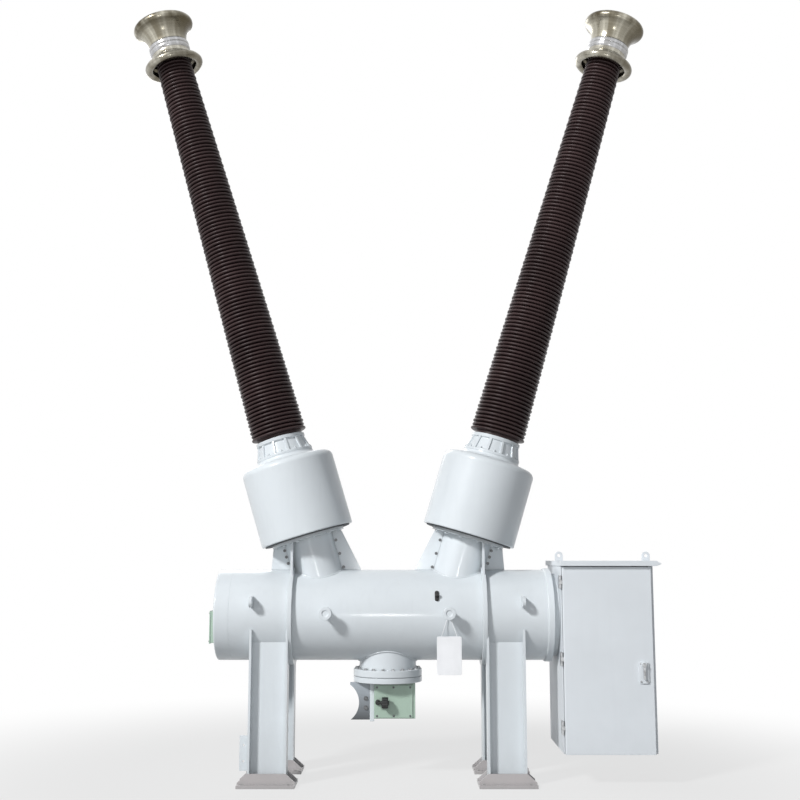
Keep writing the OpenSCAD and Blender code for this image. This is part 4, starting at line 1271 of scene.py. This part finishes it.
class BREAKER_OT_fasteners(BreakerStep, bpy.types.Operator):
    """Set the bolts, studs and screws."""
    bl_idname = "breaker.fasteners"
    bl_label = "Fasteners"

    def execute(self, context):
        sizes = context.scene.breaker_sizes
        self.rings, self.rows = ring_tree(), row_tree()
        bolt, screw = bolt_item(sizes.bolt), screw_item(sizes.screw)
        stud, small = bolt_item(sizes.collar_stud, tail=0.008), bolt_item(sizes.gusset_bolt)
        self.tank(bolt)
        for side in SIDES:
            self.bushing(side, bolt, stud)
            self.gussets(side, small)
        self.port(bolt)
        self.lids(screw)
        self.lock(screw)
        return {"FINISHED"}

    def ring(self, item, finish, place, number, radius, first):
        """Like items on a circle; the first stands at an angle in degrees."""
        return grow(self.rings, item, finish, place, count=number, radius=radius,
                    first_angle=math.radians(first))

    def row(self, item, finish, place, number, step):
        """Like items in a straight row."""
        return grow(self.rows, item, finish, place, count=number, step=step)

    def fix(self, name, meshes, finish, body="breaker"):
        """A set of fasteners as one piece."""
        piece(name, joined(meshes), finish, body, weighted=False)

    def tank(self, bolt):
        """Bolts in the dish of the end cover."""
        circle, floor = TANK_R - 0.0755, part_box("tank_left_cover")[0].x + COVER_DISH
        place = looking((floor, 0, TANK_Z), (-1, 0, 0))
        bolts = self.ring(bolt, "dark_steel", place, number=20, radius=circle, first=9)
        self.fix("cover_bolts", [bolts], "dark_steel")

    def bushing(self, side, bolt, stud):
        """Painted bolts below the neck's flange, and painted studs in the collar's foot."""
        place = bushing_matrix(side)
        foot_r, foot, _ = turned(f"collar_{side}", place)
        flange = turned(f"turret_{side}", place)[2] - NECK_FLANGE
        circle, stud_inset, foot_t = 0.222, 0.0095, 0.017
        under = place @ Matrix.Translation((0, 0, flange)) @ Matrix.Rotation(math.pi, 4, "X")
        on_foot = place @ Matrix.Translation((0, 0, foot + foot_t))
        bolts = self.ring(bolt, "paint", under, number=12, radius=circle, first=15)
        studs = self.ring(stud, "paint", on_foot, number=12, radius=foot_r - stud_inset, first=0)
        self.fix(f"neck_bolts_{side}", [bolts, studs], "paint")

    def gussets(self, side, bolt):
        """Bolts beside the neck on both faces of its gussets; a row has a place, a start and a step."""
        place, half_plate = bushing_matrix(side), 0.008
        meshes = []
        for face in FACES:
            for x, first, step in ((-0.178, 0.28, 0.095), (0.178, 0.41, 0.045)):
                spot = place @ Matrix.Translation((SIDES[side] * x, face * half_plate, first))
                spot = spot @ Matrix.Rotation(-face * math.pi / 2, 4, "X")
                meshes.append(self.row(bolt, "dark_steel", spot, number=3, step=(0, -face * step, 0)))
        self.fix(f"gusset_bolts_{side}", meshes, "dark_steel")

    def port(self, bolt):
        """Nuts on the port's flange and the two bolts of the stay."""
        low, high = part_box("port_flanges")
        circle = (high.x - low.x) / 2 - 0.0195
        nuts = self.ring(bolt, "steel", Matrix.Translation((0, 0, high.z)), number=20, radius=circle,
                         first=-97.9)
        self.fix("port_bolts", [nuts], "steel")
        low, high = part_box("port_bracket")
        x, z, step = low.x + 0.105, low.z + 0.087, (0, 0.06, 0)
        place = looking((x, high.y - STAY_PLATE, z), (0, -1, 0))
        self.fix("stay_bolts", [self.row(bolt, "dark_steel", place, number=2, step=step)], "dark_steel")

    def lids(self, screw):
        """Screws of the gas box's lid and the end box's lid, in rows of three."""
        low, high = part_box("gas_box")
        inset, lid, eave, hinge = 0.016, 0.002, 0.014, 0.02
        step = ((high.x - low.x - 2 * inset - hinge) / 2, 0, 0)
        places = [looking((low.x + inset + lid, low.y, z), (0, -1, 0))
                  for z in (low.z + inset + lid, high.z - inset - eave)]
        meshes = [self.row(screw, "dark_steel", place, number=3, step=step) for place in places]
        low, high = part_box("end_junction_box")
        step = (0, (high.y - low.y - 2 * inset) / 2, 0)
        turn = Matrix.Rotation(-math.pi / 2, 4, "Y")
        places = [Matrix.Translation((low.x, low.y + inset, z)) @ turn
                  for z in (low.z + inset, high.z - inset)]
        meshes += [self.row(screw, "dark_steel", place, number=3, step=step) for place in places]
        self.fix("lid_screws", meshes, "dark_steel")

    def lock(self, screw):
        """Screws of the lock's plate."""
        low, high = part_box("lock_plate")
        inset = 0.012
        step = (0, high.z - low.z - 2 * inset, 0)
        places = [looking((x, low.y, low.z + inset), (0, -1, 0)) for x in (low.x + inset, high.x - inset)]
        meshes = [self.row(screw, "steel", place, number=2, step=step) for place in places]
        self.fix("lock_screws", meshes, "steel", "door")


class BREAKER_OT_welds(BreakerStep, bpy.types.Operator):
    """Lay the weld beads round the tank, the necks, the port and the trunnions."""
    bl_idname = "breaker.welds"
    bl_label = "Welds"

    def execute(self, context):
        bead = context.scene.breaker_sizes.weld
        ripple, stub, lift, pipe_steps, stub_steps = 0.004, 0.032, 0.002, 200, 48
        low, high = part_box("port_neck")
        port = (high.x - low.x) / 2
        paths = [saddle(bushing_matrix(side), NECK_R + bead / 2, pipe_steps) for side in SIDES]
        paths.append(saddle(looking((0, 0, TANK_Z), (0, 0, -1)), port + bead / 2, pipe_steps))
        _, height, places = trunnion_layout()
        for x in places:
            for face in FACES:
                paths.append(saddle(looking((x, 0, height), (0, face, 0)), stub, stub_steps))
        low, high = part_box("stiffener_rings")
        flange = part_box("tank_right_flange")[0].x
        for x in (low.x, low.x + RING_PLATE, high.x - RING_PLATE, high.x, flange):
            paths.append(tank_circle(x, TANK_R + lift, steps=160))
        welds = weld_tree()
        beads = [grow(welds, path_mesh(path), "paint", radius=bead, ripple=ripple) for path in paths]
        piece("weld_beads", joined(beads), "paint", weighted=False, angle=80)
        return {"FINISHED"}


class BREAKER_OT_stage(BreakerStep, bpy.types.Operator):
    """Set the floor, the studio light and the camera."""
    bl_idname = "breaker.stage"
    bl_label = "Stage"

    def execute(self, context):
        scene = context.scene
        scene.view_settings.view_transform = "Standard"
        self.floor(scene)
        self.world(scene)
        for lamp in LAMPS:
            self.lamp(scene, *lamp)
        camera = bpy.data.objects.new("photo_camera", bpy.data.cameras.new("photo_camera"))
        camera.data.lens = CAMERA_LENS
        camera.data.sensor_width = CAMERA_SENSOR
        camera.location = CAMERA_PLACE
        camera.rotation_euler = Euler((math.radians(CAMERA_TILT), 0, 0))
        scene.collection.objects.link(camera)
        scene.camera = camera
        return {"FINISHED"}

    def seen(self, tree):
        """1 for rays that show the background: from the camera, a mirror or glass."""
        rays = put(tree, "ShaderNodeLightPath").outputs
        either = maths(tree, "MAXIMUM", rays["Is Camera Ray"], rays["Is Glossy Ray"])
        return maths(tree, "MAXIMUM", either, rays["Is Transmission Ray"])

    def floor(self, scene):
        """A matt floor that fades to the white of the background away from the object."""
        radius, fade_start, fade_end, white_near = 30.0, 1.8, 5.0, 0.72
        rgb = scene.breaker_colours.floor
        material = bpy.data.materials.new("studio_floor")
        tree = blank_tree(material)
        spot = put(tree, "ShaderNodeTexCoord").outputs["Object"]
        cloud = put(tree, "ShaderNodeTexNoise", {"Vector": spot, "Scale": 0.6, "Detail": 2.0}).outputs[0]
        tone = put(tree, "ShaderNodeMix", {0: cloud, 6: (*shade(rgb, 0.96), 1), 7: (*rgb, 1)},
                   data_type="RGBA").outputs[2]
        matt = put(tree, "ShaderNodeBsdfDiffuse", {"Color": tone}).outputs[0]
        glow = put(tree, "ShaderNodeEmission", {"Strength": 1.0}).outputs[0]
        away = put(tree, "ShaderNodeVectorMath", {0: spot}, operation="LENGTH").outputs["Value"]
        fade = put(tree, "ShaderNodeMapRange", {0: away, 1: fade_start, 2: fade_end, 3: white_near, 4: 1.0},
                   interpolation_type="SMOOTHSTEP").outputs[0]
        share = maths(tree, "MULTIPLY", self.seen(tree), fade)
        both = put(tree, "ShaderNodeMixShader", {0: share, 1: matt, 2: glow}).outputs[0]
        put(tree, "ShaderNodeOutputMaterial", {0: both})
        bm = bmesh.new()
        bmesh.ops.create_circle(bm, cap_ends=True, radius=radius, segments=96)
        floor = bpy.data.objects.new("studio_floor", as_mesh(bm, "floor"))
        floor.data.materials.append(material)
        scene.collection.objects.link(floor)

    def world(self, scene):
        """Soft light from the front and from behind, and white where the camera sees the background."""
        scene.world = bpy.data.worlds.new("studio")
        tree = blank_tree(scene.world)
        depth = split(tree, put(tree, "ShaderNodeTexCoord").outputs["Generated"])[1]
        level = LEVEL_ALL_ROUND
        for way, falloff, strength in SOFT_LIGHTS:
            facing = maths(tree, "MAXIMUM", maths(tree, "MULTIPLY", depth, way), 0.0)
            glow = maths(tree, "MULTIPLY", maths(tree, "POWER", facing, falloff), strength)
            level = maths(tree, "ADD", glow, level)
        soft = put(tree, "ShaderNodeBackground", {"Color": SOFT_TINT, "Strength": level}).outputs[0]
        white = put(tree, "ShaderNodeBackground", {"Color": (1, 1, 1, 1), "Strength": 1.0}).outputs[0]
        both = put(tree, "ShaderNodeMixShader", {0: self.seen(tree), 1: soft, 2: white}).outputs[0]
        put(tree, "ShaderNodeOutputWorld", {0: both})

    def lamp(self, scene, name, place, wide, tall, power):
        """A round soft lamp that looks at the middle of the object."""
        data = bpy.data.lights.new(name, "AREA")
        data.shape = "ELLIPSE"
        data.size, data.size_y = wide, tall
        data.energy = power
        lamp = bpy.data.objects.new(name, data)
        lamp.matrix_world = looking(place, Vector(place) - Vector(LAMP_AIM))
        scene.collection.objects.link(lamp)


OPERATORS = (BREAKER_OT_finishes, BREAKER_OT_tank, BREAKER_OT_columns, BREAKER_OT_housings,
             BREAKER_OT_collars, BREAKER_OT_insulators, BREAKER_OT_shields, BREAKER_OT_port,
             BREAKER_OT_fittings, BREAKER_OT_cabinet, BREAKER_OT_door, BREAKER_OT_fasteners,
             BREAKER_OT_welds, BREAKER_OT_stage)


class BREAKER_PT_panel(bpy.types.Panel):
    """Lists the settings and the operators."""
    bl_label = "Gas Breaker"
    bl_idname = "BREAKER_PT_panel"
    bl_space_type = "VIEW_3D"
    bl_region_type = "UI"
    bl_category = "Breaker"

    def draw(self, context):
        for group in (context.scene.breaker_sizes, context.scene.breaker_colours):
            box = self.layout.box()
            for name in group.__annotations__:
                box.prop(group, name)
        for operator in OPERATORS:
            self.layout.operator(operator.bl_idname)


CLASSES = (BreakerSizes, BreakerColours, *OPERATORS, BREAKER_PT_panel)


def register():
    """Adds the classes and the settings."""
    for cls in CLASSES:
        bpy.utils.register_class(cls)
    bpy.types.Scene.breaker_sizes = bpy.props.PointerProperty(type=BreakerSizes)
    bpy.types.Scene.breaker_colours = bpy.props.PointerProperty(type=BreakerColours)


def unregister():
    """Takes the settings and the classes away again."""
    del bpy.types.Scene.breaker_sizes
    del bpy.types.Scene.breaker_colours
    for cls in reversed(CLASSES):
        bpy.utils.unregister_class(cls)


def main():
    """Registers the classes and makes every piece."""
    register()
    for operator in OPERATORS:
        getattr(bpy.ops.breaker, operator.bl_idname.split(".")[1])()


if __name__ == "__main__":
    main()
